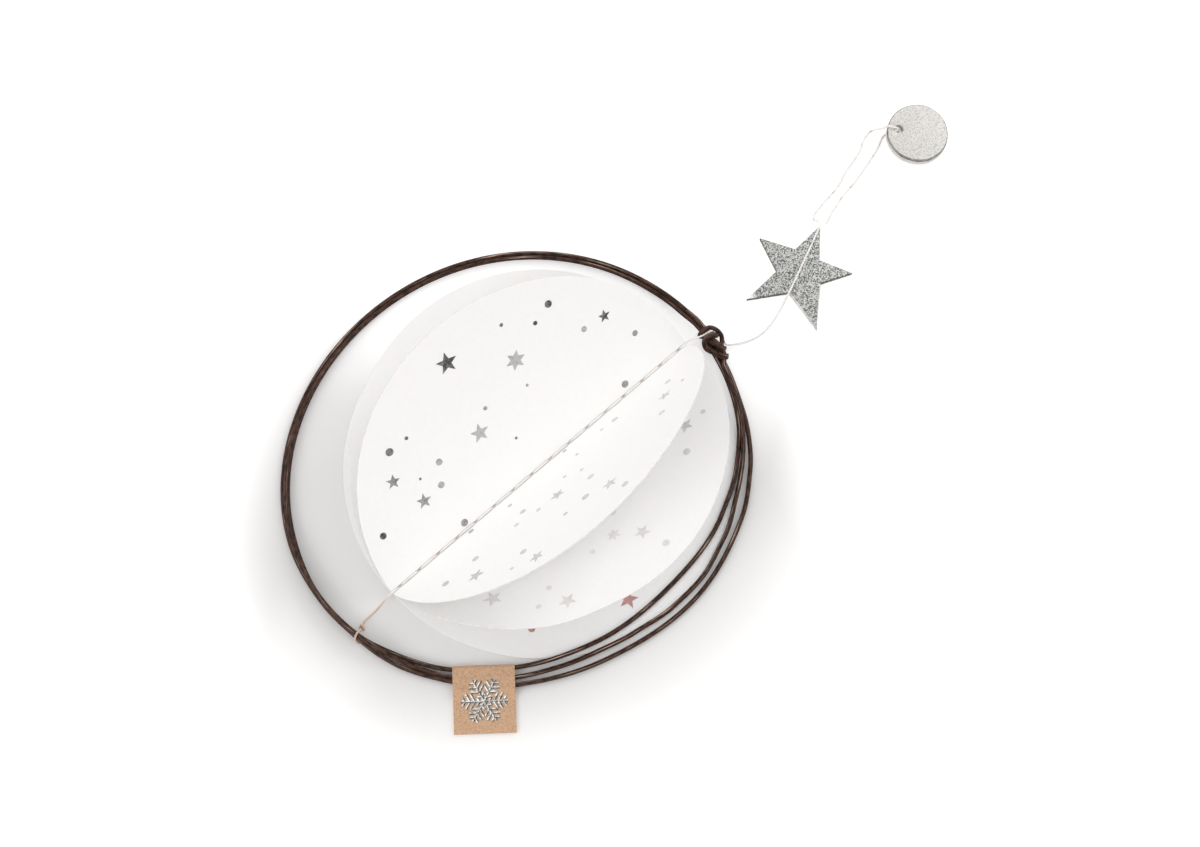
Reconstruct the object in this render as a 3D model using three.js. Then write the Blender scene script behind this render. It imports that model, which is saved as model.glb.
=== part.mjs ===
// A hanging Christmas bauble that lies on a table: a leather cord wound into a ring, three paper
// circles sewn together on one diameter inside it, a silver leather star and a cast metal tag on a
// cotton thread, and a folded kraft label on the ring.
// Millimetres and degrees, +Z up, +Y along the sewn seam towards the knot of the ring.
import * as THREE from "three";

// Leather cord and the ring that it is wound into
const CORD_DIAMETER = 1.2;
const CORD_GAP = 0.54; // air between neighbouring turns
const CORD_TURNS = 3;
const CORD_SIDES = 6;
const STEPS_PER_TURN = 72;
const FIRST_PLACE = -30; // degrees, where the first turn starts in the triangle of turns
const OWN_LENGTH = 4; // diameters of cord that aren't measured as a gap to itself
const RING_MARGIN = 7.15; // from the paper's edge to the middle of the turns, all round
const RING_OVAL = 2.86; // the ring is longer along the seam by four times this
const RING_OVAL_LEAN = 4.9; // degrees
const RING_LOBE = 0.38; // slight three-sided sway of a hand-wound ring
const RING_LOBE_LEAN = 8.9; // degrees
const RING_CENTRE_X = -5.4; // the ring lies a little off the middle of the paper
const RING_CENTRE_Y = -4.3;
const TWIST_START = 15; // degrees after the knot where the turns change places
const TWIST_END = 180;
const FAN_MIDDLE = 5; // direction in which the turns lie furthest apart
const FAN_REACH = 60; // degrees to each side
const FAN_SPACING = 3.4; // between turns in the middle of the fan
const LAID_FLAT_FROM = -80; // directions between which the turns lie side by side
const LAID_FLAT_ALL = -63;
const LAID_FLAT_UNTIL = 38;
const BUNDLED_AGAIN = 66;
const OVER_EDGE_MIDDLE = -8; // direction of the stretch that lies over the paper's edge and the label
const OVER_EDGE_LEVEL = 66; // degrees to each side
const OVER_EDGE_REACH = 80;

// Knot of the ring, two wraps of the cord's ends round the passing turns
const KNOT_ANGLE = 82; // degrees from +X round the ring's centre
const KNOT_LENGTH = 9;
const KNOT_MIDDLE = 2.6; // between the two inner wraps
const KNOT_SPIN = 600; // degrees that each end goes round
const KNOT_RISE = 24; // degrees of ring to each side that the knot lifts off the table
const KNOT_STEPS = 36;
const WRAP_STARTS_BY = 0.1; // share of a wrap in which the end climbs onto the other turns
const CUT_END = 2.4; // length of the cut ends past the knot

// Paper circles
const PAPER_DIAMETER = 100;
const PAPER_THICKNESS = 0.3;
const CREASE_PITCH = 0.6; // height between the creases of two circles
const PAPER_ROWS = 48;
const SEAM_SLOT = 1.1; // between the two creases of a circle, where the thread runs
// Each half circle stands at an angle at the knot's end of its crease. The two upper ones bow: they turn
// by so many degrees more towards the other end, evenly or late.
const LEAVES = [
  { name: "lower_leaf_right", layer: 0, angle: 0, bow: 0, lateness: 1 },
  { name: "middle_leaf_right", layer: 1, angle: 26, bow: 0, lateness: 1 },
  { name: "upper_leaf_right", layer: 2, angle: 57, bow: -6, lateness: 1 },
  { name: "upper_leaf_left", layer: 2, angle: 131.5, bow: 7.5, lateness: 2 },
  { name: "middle_leaf_left", layer: 1, angle: 153, bow: 0, lateness: 1 },
  { name: "lower_leaf_left", layer: 0, angle: 180, bow: 0, lateness: 1 },
];

// Cotton thread
const THREAD_DIAMETER = 0.55;
const THREAD_SIDES = 8;
const SEWN_SIDES = 6; // of the stitched thread, most of which lies inside the paper
const STITCH_PITCH = 6.3;
const STITCH_DIP = 0.7; // up and down from the middle of the stack
const STITCH_STEPS = 8;
const TIE_ANGLE = 278; // where the seam's thread is tied round the ring
const TIE_RISE = 12; // degrees of ring to each side
const TIE_FROM = 205; // degrees round the turns, from outside over the top
const TIE_UNTIL = 515;
const TIE_STEPS = 14;
const KNOT_TIE_GAP = 2.6; // from the knot to the thread that is tied beside it
const TAIL_STEPS = 48;
const LOOP_STEPS = 88;

// Kraft label, a strip folded over the turns and glued to itself
const LABEL_WIDTH = 15.5;
const LABEL_LENGTH = 17.1;
const LABEL_THICKNESS = 0.35;
const LABEL_ANGLE = -48.4; // where it rides on the ring
const LABEL_TURN = -39.9; // direction in which it points
const LABEL_CLEARANCE = 1.15; // between the fold and the inner turn
const LABEL_SLOPE = 2; // length over which the pocket closes
const FOLD_SEGMENTS = 8;

// Leather star, cut by hand: tips and notches as a radius and a direction
const STAR_X = 5.1;
const STAR_Y = 84.9;
const STAR_THICKNESS = 1.4;
const STAR_TIPS = [
  [14.6, 114.4],
  [14, 183.2],
  [15.6, 256.4],
  [15.9, 333.3],
  [13.9, 47.6],
];
const STAR_NOTCH_RADIUS = 6.2;
const STAR_HOLE_DIAMETER = 2.4;
const STAR_HOLE_RADIUS = 8.6; // from the middle towards the first tip
const HOLE_SEGMENTS = 10;

// Cast metal tag, tipped up a little by the thread under its rim
const TAG_DIAMETER = 16;
const TAG_THICKNESS = 3;
const TAG_EDGE = 0.45; // rounding of the rim
const TAG_EDGE_STEPS = 2;
const TAG_SEGMENTS = 20;
const TAG_X = -2.6;
const TAG_Y = 134.4;
const TAG_HOLE_DIAMETER = 2.4;
const TAG_HOLE_OFFSET = 5;
const TAG_HOLE_ANGLE = 218; // direction of the hole from the middle
const TAG_TILT = 3.9; // degrees

const CLEARANCE = 0.3; // between pieces that touch on the real bauble
const TABLE_GAP = 0.1; // under the free thread

const RING_RADIUS = PAPER_DIAMETER / 2 + RING_MARGIN;
const CORD_RADIUS = CORD_DIAMETER / 2;
const THREAD_RADIUS = THREAD_DIAMETER / 2;
const BUNDLE_RADIUS = (CORD_DIAMETER + CORD_GAP) / Math.sqrt(3); // three turns in a triangle
const WRAP_RADIUS = BUNDLE_RADIUS + CORD_DIAMETER + CORD_GAP;
const TIE_RADIUS = BUNDLE_RADIUS + CORD_RADIUS + CLEARANCE + THREAD_RADIUS;
const SLOT_ANGLE = 360 / CORD_TURNS;

const leather = new THREE.MeshStandardMaterial({ color: 0x3a2a24, roughness: 0.6, metalness: 0 });
const paper = new THREE.MeshStandardMaterial({ color: 0xf4f2f0, roughness: 0.9, metalness: 0 });
const cotton = new THREE.MeshStandardMaterial({ color: 0xe9e0d8, roughness: 1, metalness: 0 });
const kraft = new THREE.MeshStandardMaterial({ color: 0xc49a76, roughness: 0.95, metalness: 0 });
const silver = new THREE.MeshStandardMaterial({ color: 0x9a9e9c, roughness: 0.45, metalness: 0.8 });
const pewter = new THREE.MeshStandardMaterial({ color: 0xcdcbc6, roughness: 0.4, metalness: 1 });

const radians = THREE.MathUtils.degToRad;
const smooth = THREE.MathUtils.smoothstep;
const vector = (x, y, z) => new THREE.Vector3(x, y, z);

// A tube with closed ends whose rings sit on the given points.
function tubeThrough(points, diameter, sides) {
  const positions = [];
  const index = [];
  const tangentAt = (i) =>
    points[Math.min(i + 1, points.length - 1)].clone().sub(points[Math.max(i - 1, 0)]).normalize();
  const across = vector(0, 0, 1).cross(tangentAt(0)).normalize();
  points.forEach((point, i) => {
    const tangent = tangentAt(i);
    across.addScaledVector(tangent, -across.dot(tangent)).normalize();
    const up = tangent.clone().cross(across);
    for (let k = 0; k < sides; k++) {
      const turn = (2 * Math.PI * k) / sides;
      const corner = point
        .clone()
        .addScaledVector(across, (diameter / 2) * Math.cos(turn))
        .addScaledVector(up, (diameter / 2) * Math.sin(turn));
      positions.push(corner.x, corner.y, corner.z);
    }
  });
  const first = points[0];
  const last = points[points.length - 1];
  positions.push(first.x, first.y, first.z, last.x, last.y, last.z);
  const firstCentre = points.length * sides;
  const lastRing = firstCentre - sides;
  for (let k = 0; k < sides; k++) {
    const next = (k + 1) % sides;
    for (let ring = 0; ring < lastRing; ring += sides) {
      index.push(ring + k, ring + next, ring + sides + next);
      index.push(ring + k, ring + sides + next, ring + sides + k);
    }
    index.push(firstCentre, next, k);
    index.push(firstCentre + 1, lastRing + k, lastRing + next);
  }
  const geometry = new THREE.BufferGeometry();
  geometry.setAttribute("position", new THREE.Float32BufferAttribute(positions, 3));
  geometry.setIndex(index);
  geometry.computeVertexNormals();
  return geometry;
}

// The points of a smooth curve through a few hand-chosen ones.
function smoothRoute(stops, steps) {
  return new THREE.CatmullRomCurve3(stops, false, "centripetal").getPoints(steps);
}

// Direction folded into the half turns either side of +X.
const folded = (angle) => THREE.MathUtils.euclideanModulo(angle + 180, 360) - 180;

// A hump of height 1 with a level top, and smooth feet that end at its reach.
const hump = (angle, middle, level, reach) =>
  1 - smooth(Math.abs(folded(angle - middle)), level, reach);

// The ring: its middle line in plan, and what lies between it and the table.
function ringRadius(angle) {
  const oval = RING_OVAL * Math.cos(radians(2 * (angle + RING_OVAL_LEAN)));
  const lobe = RING_LOBE * Math.sin(radians(3 * (angle - RING_LOBE_LEAN)));
  return RING_RADIUS - oval + lobe;
}

// Degrees of ring that a length along it takes up.
const degreesAlong = (length) => THREE.MathUtils.radToDeg(length / RING_RADIUS);

function laidFlat(angle) {
  const a = folded(angle);
  return smooth(a, LAID_FLAT_FROM, LAID_FLAT_ALL) * (1 - smooth(a, LAID_FLAT_UNTIL, BUNDLED_AGAIN));
}

function turnSpacing(angle) {
  const bundled = CORD_DIAMETER + CORD_GAP;
  return bundled + (FAN_SPACING - bundled) * hump(angle, FAN_MIDDLE, 0, FAN_REACH);
}

function liftAt(angle) {
  const overPaper = Math.max(PAPER_THICKNESS, LABEL_THICKNESS) + CLEARANCE;
  const overWrap = WRAP_RADIUS - BUNDLE_RADIUS / 2;
  const overTie = TIE_RADIUS + THREAD_RADIUS - BUNDLE_RADIUS / 2 - CORD_RADIUS;
  return Math.max(
    overPaper * hump(angle, OVER_EDGE_MIDDLE, OVER_EDGE_LEVEL, OVER_EDGE_REACH),
    overWrap * hump(angle, KNOT_ANGLE, degreesAlong(KNOT_LENGTH / 2), KNOT_RISE),
    overTie * hump(angle, TIE_ANGLE, degreesAlong(THREAD_DIAMETER), TIE_RISE),
  );
}

// A point beside the ring's middle line: out from it, and above the table.
function besideRing(angle, out, height) {
  const radius = ringRadius(angle) + out;
  const x = RING_CENTRE_X + radius * Math.cos(radians(angle));
  const y = RING_CENTRE_Y + radius * Math.sin(radians(angle));
  return vector(x, y, height);
}

// The three turns lie in a triangle that twists by one place in each turn; its lowest turn rests on
// whatever is under the ring.
function bundleTwist(sinceKnot) {
  const inTurn = THREE.MathUtils.euclideanModulo(sinceKnot, 360);
  return -SLOT_ANGLE * smooth(inTurn, TWIST_START, TWIST_END);
}

function bundleHeight(sinceKnot) {
  let lowest = 0;
  for (let k = 0; k < CORD_TURNS; k++) {
    const place = bundleTwist(sinceKnot) + FIRST_PLACE + SLOT_ANGLE * k;
    lowest = Math.min(lowest, BUNDLE_RADIUS * Math.sin(radians(place)));
  }
  return CORD_RADIUS + liftAt(KNOT_ANGLE + sinceKnot) - lowest;
}

// Where the turns come to lie side by side they move apart before they come down.
function turnPoint(sinceKnot) {
  const angle = KNOT_ANGLE + sinceKnot;
  const turn = Math.min(Math.floor(sinceKnot / 360), CORD_TURNS - 1);
  const place = radians(bundleTwist(sinceKnot - 360 * turn) + FIRST_PLACE - SLOT_ANGLE * turn);
  const flat = laidFlat(angle);
  const outBundled = BUNDLE_RADIUS * Math.cos(place);
  const outFlat = (turn - (CORD_TURNS - 1) / 2) * turnSpacing(angle);
  const heightBundled = bundleHeight(sinceKnot) + BUNDLE_RADIUS * Math.sin(place);
  const heightFlat = CORD_RADIUS + liftAt(angle);
  return besideRing(
    angle,
    THREE.MathUtils.lerp(outBundled, outFlat, 1 - (1 - flat) ** 2),
    THREE.MathUtils.lerp(heightBundled, heightFlat, flat ** 2),
  );
}

// One end of the cord wrapped round the other turns, from the ring to its cut end.
function wrappedEnd(side) {
  const points = [];
  for (let i = 1; i <= KNOT_STEPS; i++) {
    const share = i / KNOT_STEPS;
    const along = side * THREE.MathUtils.lerp(KNOT_LENGTH / 2, KNOT_MIDDLE / 2, share);
    const place = radians(FIRST_PLACE - KNOT_SPIN * share);
    const radius = THREE.MathUtils.lerp(BUNDLE_RADIUS, WRAP_RADIUS, smooth(share, 0, WRAP_STARTS_BY));
    const sinceKnot = degreesAlong(along);
    const height = bundleHeight(sinceKnot) + radius * Math.sin(place);
    points.push(besideRing(KNOT_ANGLE + sinceKnot, radius * Math.cos(place), height));
  }
  const end = points[points.length - 1];
  const heading = end.clone().sub(points[points.length - 2]).normalize();
  points.push(end.clone().addScaledVector(heading, CUT_END / 2));
  points.push(end.clone().addScaledVector(heading, CUT_END));
  return points;
}

function ringRoute() {
  const start = degreesAlong(KNOT_LENGTH / 2);
  const stop = 360 * CORD_TURNS - start;
  const steps = STEPS_PER_TURN * CORD_TURNS;
  const turns = [];
  for (let i = 0; i <= steps; i++) {
    turns.push(turnPoint(THREE.MathUtils.lerp(start, stop, i / steps)));
  }
  return [...wrappedEnd(1).reverse(), ...turns, ...wrappedEnd(-1)];
}

// Least air between stretches of a wound cord that aren't neighbours along it.
function leastGap(route, diameter) {
  const walk = new THREE.CurvePath();
  for (let i = 1; i < route.length; i++) walk.add(new THREE.LineCurve3(route[i - 1], route[i]));
  const length = walk.getLength();
  const count = Math.round(length / (diameter / 2));
  const points = walk.getSpacedPoints(count);
  const apart = Math.ceil((OWN_LENGTH * diameter * count) / length);
  let least = Infinity;
  for (let i = 0; i < points.length; i++) {
    for (let j = i + apart; j < points.length; j++) {
      least = Math.min(least, points[i].distanceTo(points[j]));
    }
  }
  return least - diameter;
}

// A half circle of paper in straight rows from its crease to its edge, which turn along the crease as
// the paper bows. Its first and last rows have no width.
function leafGeometry({ angle, bow, lateness }) {
  const radius = PAPER_DIAMETER / 2;
  const toCrease = SEAM_SLOT / 2;
  const reach = Math.acos(toCrease / radius);
  const positions = [];
  for (let row = 0; row <= PAPER_ROWS; row++) {
    const turn = THREE.MathUtils.lerp(-reach, reach, row / PAPER_ROWS);
    const y = radius * Math.sin(turn);
    const stand = radians(angle + bow * ((1 - y / radius) / 2) ** lateness);
    const out = vector(Math.cos(stand), 0, Math.sin(stand));
    const above = vector(-Math.sin(stand), 0, Math.cos(stand));
    for (const width of [0, radius * Math.cos(turn) - toCrease]) {
      for (const side of [1, -1]) {
        const corner = out.clone().multiplyScalar(width).addScaledVector(above, (side * PAPER_THICKNESS) / 2);
        positions.push(corner.x, y, corner.z);
      }
    }
  }
  const isEnd = (row) => row === 0 || row === PAPER_ROWS;
  const corner = (row, atEdge, below) => 4 * row + (atEdge && !isEnd(row) ? 2 : 0) + (below ? 1 : 0);
  const walls = [
    [[0, 0], [1, 0]],
    [[1, 0], [1, 1]],
    [[1, 1], [0, 1]],
    [[0, 1], [0, 0]],
  ];
  const index = [];
  for (let row = 0; row < PAPER_ROWS; row++) {
    for (const [from, to] of walls) {
      const [a, b] = [corner(row, ...from), corner(row, ...to)];
      const [c, d] = [corner(row + 1, ...to), corner(row + 1, ...from)];
      if (a !== b) index.push(a, b, c);
      if (c !== d) index.push(a, c, d);
    }
  }
  const geometry = new THREE.BufferGeometry();
  geometry.setAttribute("position", new THREE.Float32BufferAttribute(positions, 3));
  geometry.setIndex(index);
  geometry.computeVertexNormals();
  return geometry;
}

const creaseHeight = (layer) => PAPER_THICKNESS / 2 + CREASE_PITCH * layer;

function leaf(shape) {
  const mesh = new THREE.Mesh(leafGeometry(shape), paper);
  mesh.name = shape.name;
  const side = Math.sign(Math.cos(radians(shape.angle)));
  mesh.position.set((side * SEAM_SLOT) / 2, 0, creaseHeight(shape.layer));
  return mesh;
}

// Thread tied round the ring, from its loose end under the turns to the side of the paper.
function tieRound(angle) {
  const middle = bundleHeight(angle - KNOT_ANGLE);
  const points = [];
  for (let i = 0; i <= TIE_STEPS; i++) {
    const place = radians(THREE.MathUtils.lerp(TIE_FROM, TIE_UNTIL, i / TIE_STEPS));
    const height = middle + TIE_RADIUS * Math.sin(place);
    points.push(besideRing(angle, TIE_RADIUS * Math.cos(place), height));
  }
  return points;
}

function seamRoute() {
  const middle = creaseHeight(1);
  const reach = PAPER_DIAMETER / 2 + THREAD_DIAMETER;
  const stitches = 2 * Math.floor(reach / STITCH_PITCH) + 1;
  const steps = stitches * STITCH_STEPS;
  const stitched = [];
  for (let i = 0; i <= steps; i++) {
    const y = THREE.MathUtils.lerp(-reach, reach, i / steps);
    const wave = Math.cos((Math.PI * 2 * y) / STITCH_PITCH);
    stitched.push(vector(0, y, middle + THREAD_RADIUS + STITCH_DIP * wave));
  }
  const knotTie = KNOT_ANGLE + degreesAlong(KNOT_LENGTH / 2 + KNOT_TIE_GAP);
  return [...tieRound(TIE_ANGLE), ...stitched, ...tieRound(knotTie).reverse()];
}

// The label's folded strip seen from its side: the fold at the origin, the glued end along +X.
function labelGeometry(pocketLength, pocketHeight) {
  const height = pocketHeight + 2 * LABEL_THICKNESS;
  const bend = height / 2;
  const inner = pocketHeight / 2;
  const outline = new THREE.Shape();
  outline.moveTo(bend, 0);
  outline.lineTo(LABEL_LENGTH, 0);
  outline.lineTo(LABEL_LENGTH, 2 * LABEL_THICKNESS);
  outline.lineTo(pocketLength + LABEL_SLOPE + LABEL_THICKNESS, 2 * LABEL_THICKNESS);
  outline.lineTo(pocketLength + LABEL_THICKNESS, height);
  outline.lineTo(bend, height);
  outline.absarc(bend, bend, bend, Math.PI / 2, (3 * Math.PI) / 2, false);
  const pocket = new THREE.Path();
  pocket.moveTo(bend, LABEL_THICKNESS);
  pocket.lineTo(pocketLength + LABEL_SLOPE, LABEL_THICKNESS);
  pocket.lineTo(pocketLength, height - LABEL_THICKNESS);
  pocket.lineTo(bend, height - LABEL_THICKNESS);
  pocket.absarc(bend, bend, inner, Math.PI / 2, (3 * Math.PI) / 2, false);
  outline.holes.push(pocket);
  const geometry = new THREE.ExtrudeGeometry(outline, {
    depth: LABEL_WIDTH,
    bevelEnabled: false,
    curveSegments: FOLD_SEGMENTS,
  });
  return geometry.translate(0, 0, -LABEL_WIDTH / 2).rotateX(Math.PI / 2);
}

function kraftLabel() {
  const spacing = turnSpacing(LABEL_ANGLE);
  const inside = spacing * ((CORD_TURNS - 1) / 2) + CORD_RADIUS + LABEL_CLEARANCE;
  const pocketHeight = CORD_DIAMETER + 2 * CLEARANCE;
  const mesh = new THREE.Mesh(labelGeometry(2 * inside, pocketHeight), kraft);
  mesh.name = "kraft_label";
  const heading = vector(Math.cos(radians(LABEL_TURN)), Math.sin(radians(LABEL_TURN)), 0);
  mesh.position.copy(besideRing(LABEL_ANGLE, 0, 0)).addScaledVector(heading, -inside - LABEL_THICKNESS);
  mesh.rotation.z = radians(LABEL_TURN);
  return mesh;
}

// A point of the star's own plane, from its middle.
const starPoint = (radius, angle) =>
  new THREE.Vector2(radius * Math.cos(radians(angle)), radius * Math.sin(radians(angle)));

function leatherStar() {
  const outline = new THREE.Shape();
  STAR_TIPS.forEach(([radius, angle], i) => {
    const next = STAR_TIPS[(i + 1) % STAR_TIPS.length][1];
    const between = angle + THREE.MathUtils.euclideanModulo(next - angle, 360) / 2;
    const tip = starPoint(radius, angle);
    const notch = starPoint(STAR_NOTCH_RADIUS, between);
    if (i === 0) outline.moveTo(tip.x, tip.y);
    else outline.lineTo(tip.x, tip.y);
    outline.lineTo(notch.x, notch.y);
  });
  const stitchHole = new THREE.Path();
  const hole = starPoint(STAR_HOLE_RADIUS, STAR_TIPS[0][1]);
  stitchHole.absarc(hole.x, hole.y, STAR_HOLE_DIAMETER / 2, 0, 2 * Math.PI, true);
  outline.holes.push(stitchHole);
  const geometry = new THREE.ExtrudeGeometry(outline, {
    depth: STAR_THICKNESS,
    bevelEnabled: false,
    curveSegments: HOLE_SEGMENTS,
  });
  const mesh = new THREE.Mesh(geometry, silver);
  mesh.name = "leather_star";
  mesh.position.set(STAR_X, STAR_Y, 0);
  return mesh;
}

// The free thread from the knot to the star, over its face, through its hole and on to its tip.
function tailRoute() {
  const low = THREAD_RADIUS + TABLE_GAP;
  const face = STAR_THICKNESS + CLEARANCE + THREAD_RADIUS;
  const hole = starPoint(STAR_HOLE_RADIUS, STAR_TIPS[0][1]);
  const tip = starPoint(STAR_TIPS[0][0], STAR_TIPS[0][1]);
  const stops = [
    vector(6.2, 58.1, 2.2),
    vector(7.3, 58.9, 1.5),
    vector(8.6, 60.2, 0.7),
    vector(9.9, 62.4, low),
    vector(10.8, 65.9, low),
    vector(10.6, 69.7, low),
    vector(9.6, 73.4, low),
    vector(8.7, 76, 0.6),
    vector(8.1, 77.6, 1.5),
    vector(7.4, 79.4, face + 0.2),
    vector(6.4, 81.8, face),
    vector(STAR_X + hole.x * 0.5, STAR_Y + hole.y * 0.5, face),
    vector(STAR_X + hole.x * 0.8, STAR_Y + hole.y * 0.8, face),
    vector(STAR_X + hole.x, STAR_Y + hole.y, STAR_THICKNESS * 1.05),
    vector(STAR_X + hole.x * 1.2, STAR_Y + hole.y * 1.2, face),
    vector(STAR_X + tip.x * 0.9, STAR_Y + tip.y * 0.9, face),
    vector(STAR_X + tip.x * 1.02, STAR_Y + tip.y * 1.02, face - 0.1),
  ];
  return smoothRoute(stops, TAIL_STEPS);
}

// The loop that the bauble hangs by, from the star's tip through the tag's hole and back.
function loopRoute() {
  const low = THREAD_RADIUS + TABLE_GAP;
  const hole = tagPoint(TAG_HOLE_OFFSET, 0);
  const holeTop = tagPoint(TAG_HOLE_OFFSET, TAG_THICKNESS);
  const rimTop = tagPoint(TAG_DIAMETER / 2, TAG_THICKNESS + CLEARANCE + THREAD_DIAMETER);
  const besideRim = tagPoint(TAG_DIAMETER / 2 + 2 * THREAD_DIAMETER, TAG_THICKNESS / 2);
  const holeEdge = TAG_HOLE_OFFSET + TAG_HOLE_DIAMETER / 2;
  const aboveHole = tagPoint(holeEdge, TAG_THICKNESS + CLEARANCE + THREAD_DIAMETER);
  const stops = [
    vector(-1.9, 98.7, 1.6),
    vector(-3.1, 98.1, 1),
    vector(-4.3, 99.4, low),
    vector(-5.1, 102.8, low),
    vector(-6, 109, low),
    vector(-7.6, 113.7, low),
    vector(-9.5, 120.6, low),
    vector(-11.2, 123.7, low),
    vector(-11.7, 126.6, 0.7),
    besideRim,
    rimTop,
    aboveHole,
    holeTop,
    hole.clone().lerp(holeTop, 0.3),
    vector(hole.x - 0.5, hole.y - 0.5, low + 0.1),
    vector(-8.6, 128.6, low),
    vector(-6.9, 124.3, low),
    vector(-5.3, 118.8, low),
    vector(-3.9, 113.1, low),
    vector(-3.4, 109.2, low),
    vector(-1.6, 103, low),
    vector(-0.4, 100.2, 0.9),
    vector(-0.2, 99.4, 1.5),
  ];
  return smoothRoute(stops, LOOP_STEPS);
}

// The tag lies on the rim opposite its hole and leans on the thread under the hole's side.
function tagFrame() {
  const frame = new THREE.Group();
  const away = radians(TAG_HOLE_ANGLE);
  const far = TAG_DIAMETER / 2;
  frame.position.set(TAG_X - far * Math.cos(away), TAG_Y - far * Math.sin(away), 0);
  frame.rotation.set(0, -radians(TAG_TILT), away, "ZYX");
  frame.updateMatrix();
  return frame;
}

// A point on the line from the tag's middle through its hole, above the tag's underside.
const tagPoint = (out, height) =>
  vector(TAG_DIAMETER / 2 + out, 0, height).applyMatrix4(tagFrame().matrix);

function metalTag() {
  const radius = TAG_DIAMETER / 2 - TAG_EDGE;
  const outline = new THREE.Shape();
  outline.absarc(TAG_DIAMETER / 2, 0, radius, 0, 2 * Math.PI, false);
  const hole = new THREE.Path();
  const holeRadius = TAG_HOLE_DIAMETER / 2 + TAG_EDGE;
  hole.absarc(TAG_DIAMETER / 2 + TAG_HOLE_OFFSET, 0, holeRadius, 0, 2 * Math.PI, true);
  outline.holes.push(hole);
  const geometry = new THREE.ExtrudeGeometry(outline, {
    depth: TAG_THICKNESS - 2 * TAG_EDGE,
    bevelEnabled: true,
    bevelThickness: TAG_EDGE,
    bevelSize: TAG_EDGE,
    bevelSegments: TAG_EDGE_STEPS,
    curveSegments: TAG_SEGMENTS,
  });
  const mesh = new THREE.Mesh(geometry.translate(0, 0, TAG_EDGE), pewter);
  mesh.name = "metal_tag";
  const frame = tagFrame();
  frame.add(mesh);
  return frame;
}

function tubeMesh(name, route, diameter, sides, material) {
  const mesh = new THREE.Mesh(tubeThrough(route, diameter, sides), material);
  mesh.name = name;
  return mesh;
}

const ring = ringRoute();
console.log("least gap between the turns of the cord:", leastGap(ring, CORD_DIAMETER).toFixed(2), "mm");

// The ring, the paper and the label stand on the table; the rest lies beside them on the thread.
const standing = new THREE.Group();
standing.add(tubeMesh("ring_cord", ring, CORD_DIAMETER, CORD_SIDES, leather));
standing.add(...LEAVES.map(leaf));
standing.add(tubeMesh("seam_thread", seamRoute(), THREAD_DIAMETER, SEWN_SIDES, cotton));
standing.add(kraftLabel());

const onThread = new THREE.Group();
onThread.add(tubeMesh("tail_thread", tailRoute(), THREAD_DIAMETER, THREAD_SIDES, cotton));
onThread.add(leatherStar());
onThread.add(tubeMesh("hanging_loop", loopRoute(), THREAD_DIAMETER, THREAD_SIDES, cotton));
onThread.add(metalTag());

// The origin is under the middle of what stands, on the table.
const bauble = new THREE.Group();
bauble.add(standing, onThread);
bauble.updateMatrixWorld(true);
const box = new THREE.Box3().setFromObject(standing, true);
const middle = box.getCenter(vector(0, 0, 0));
bauble.position.set(-middle.x, -middle.y, -box.min.z);

export default bauble;
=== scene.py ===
# A hanging Christmas bauble that lies on a white table: a wound leather ring with three sewn paper
# circles in it, a folded kraft label, and a silver leather star and a cast metal tag on cotton thread.
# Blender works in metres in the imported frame; the sizes of the pieces are written in millimetres.
import math
import bpy
from mathutils import Matrix, Vector


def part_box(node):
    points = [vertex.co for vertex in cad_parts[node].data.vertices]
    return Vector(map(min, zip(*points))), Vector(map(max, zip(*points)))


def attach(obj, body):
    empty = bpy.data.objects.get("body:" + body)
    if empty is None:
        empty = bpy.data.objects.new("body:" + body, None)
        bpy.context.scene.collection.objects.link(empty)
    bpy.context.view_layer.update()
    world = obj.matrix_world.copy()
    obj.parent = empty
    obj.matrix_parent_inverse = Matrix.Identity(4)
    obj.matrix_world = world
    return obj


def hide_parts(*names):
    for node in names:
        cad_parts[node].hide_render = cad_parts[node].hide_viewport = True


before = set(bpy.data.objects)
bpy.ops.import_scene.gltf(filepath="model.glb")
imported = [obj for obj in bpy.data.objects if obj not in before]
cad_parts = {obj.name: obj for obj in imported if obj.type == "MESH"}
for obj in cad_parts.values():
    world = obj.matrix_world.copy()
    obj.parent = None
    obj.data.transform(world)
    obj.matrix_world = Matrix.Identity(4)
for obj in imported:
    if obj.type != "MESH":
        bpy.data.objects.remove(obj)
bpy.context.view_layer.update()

scene = bpy.context.scene
scene.view_settings.view_transform = "Standard"

# The table, the light and the camera. The table is a sheet of white card that keeps the soft shadows, and
# in view it glows with painted light, plain white away from the bauble's shaded side; most of the light is
# even, and two weak wide lamps stand low in line with the seam. Places are given across the sewn seam and
# along it.
MM = 0.001
leaf_right_low, leaf_right_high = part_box("lower_leaf_right")
leaf_left_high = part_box("lower_leaf_left")[1]
SEAM_X = (leaf_right_low.x + leaf_left_high.x) / 2
SEAM_Y = (leaf_right_low.y + leaf_right_high.y) / 2
VIEW_TARGET = (1.03, 19.22, 0)
VIEW_AZIMUTH = 47.9
VIEW_ELEVATION = 70
VIEW_DISTANCE = 900
VIEW_LENS = 105.84
VIEW_SENSOR = 36
# Each lamp: its direction round the bauble in degrees, its watts and its colour.
LAMPS = {
    "lamp_beyond_knot": (182, 3.8, (1, 0.992, 0.98)),
    "lamp_before_tie": (358, 3.4, (1, 0.985, 0.972)),
}
LAMP_ELEVATION = 30
LAMP_DISTANCE = 1200
LAMP_WIDTH = 500
TABLE_SIZE = 6000
TABLE_DEPTH = 0.03
TABLE_WHITE = (0.84, 0.838, 0.835, 1)
TABLE_ROUGHNESS = 0.9
TABLE_SHINE = 0.1
TABLE_PAINTED_LIGHT = 0.45
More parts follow.
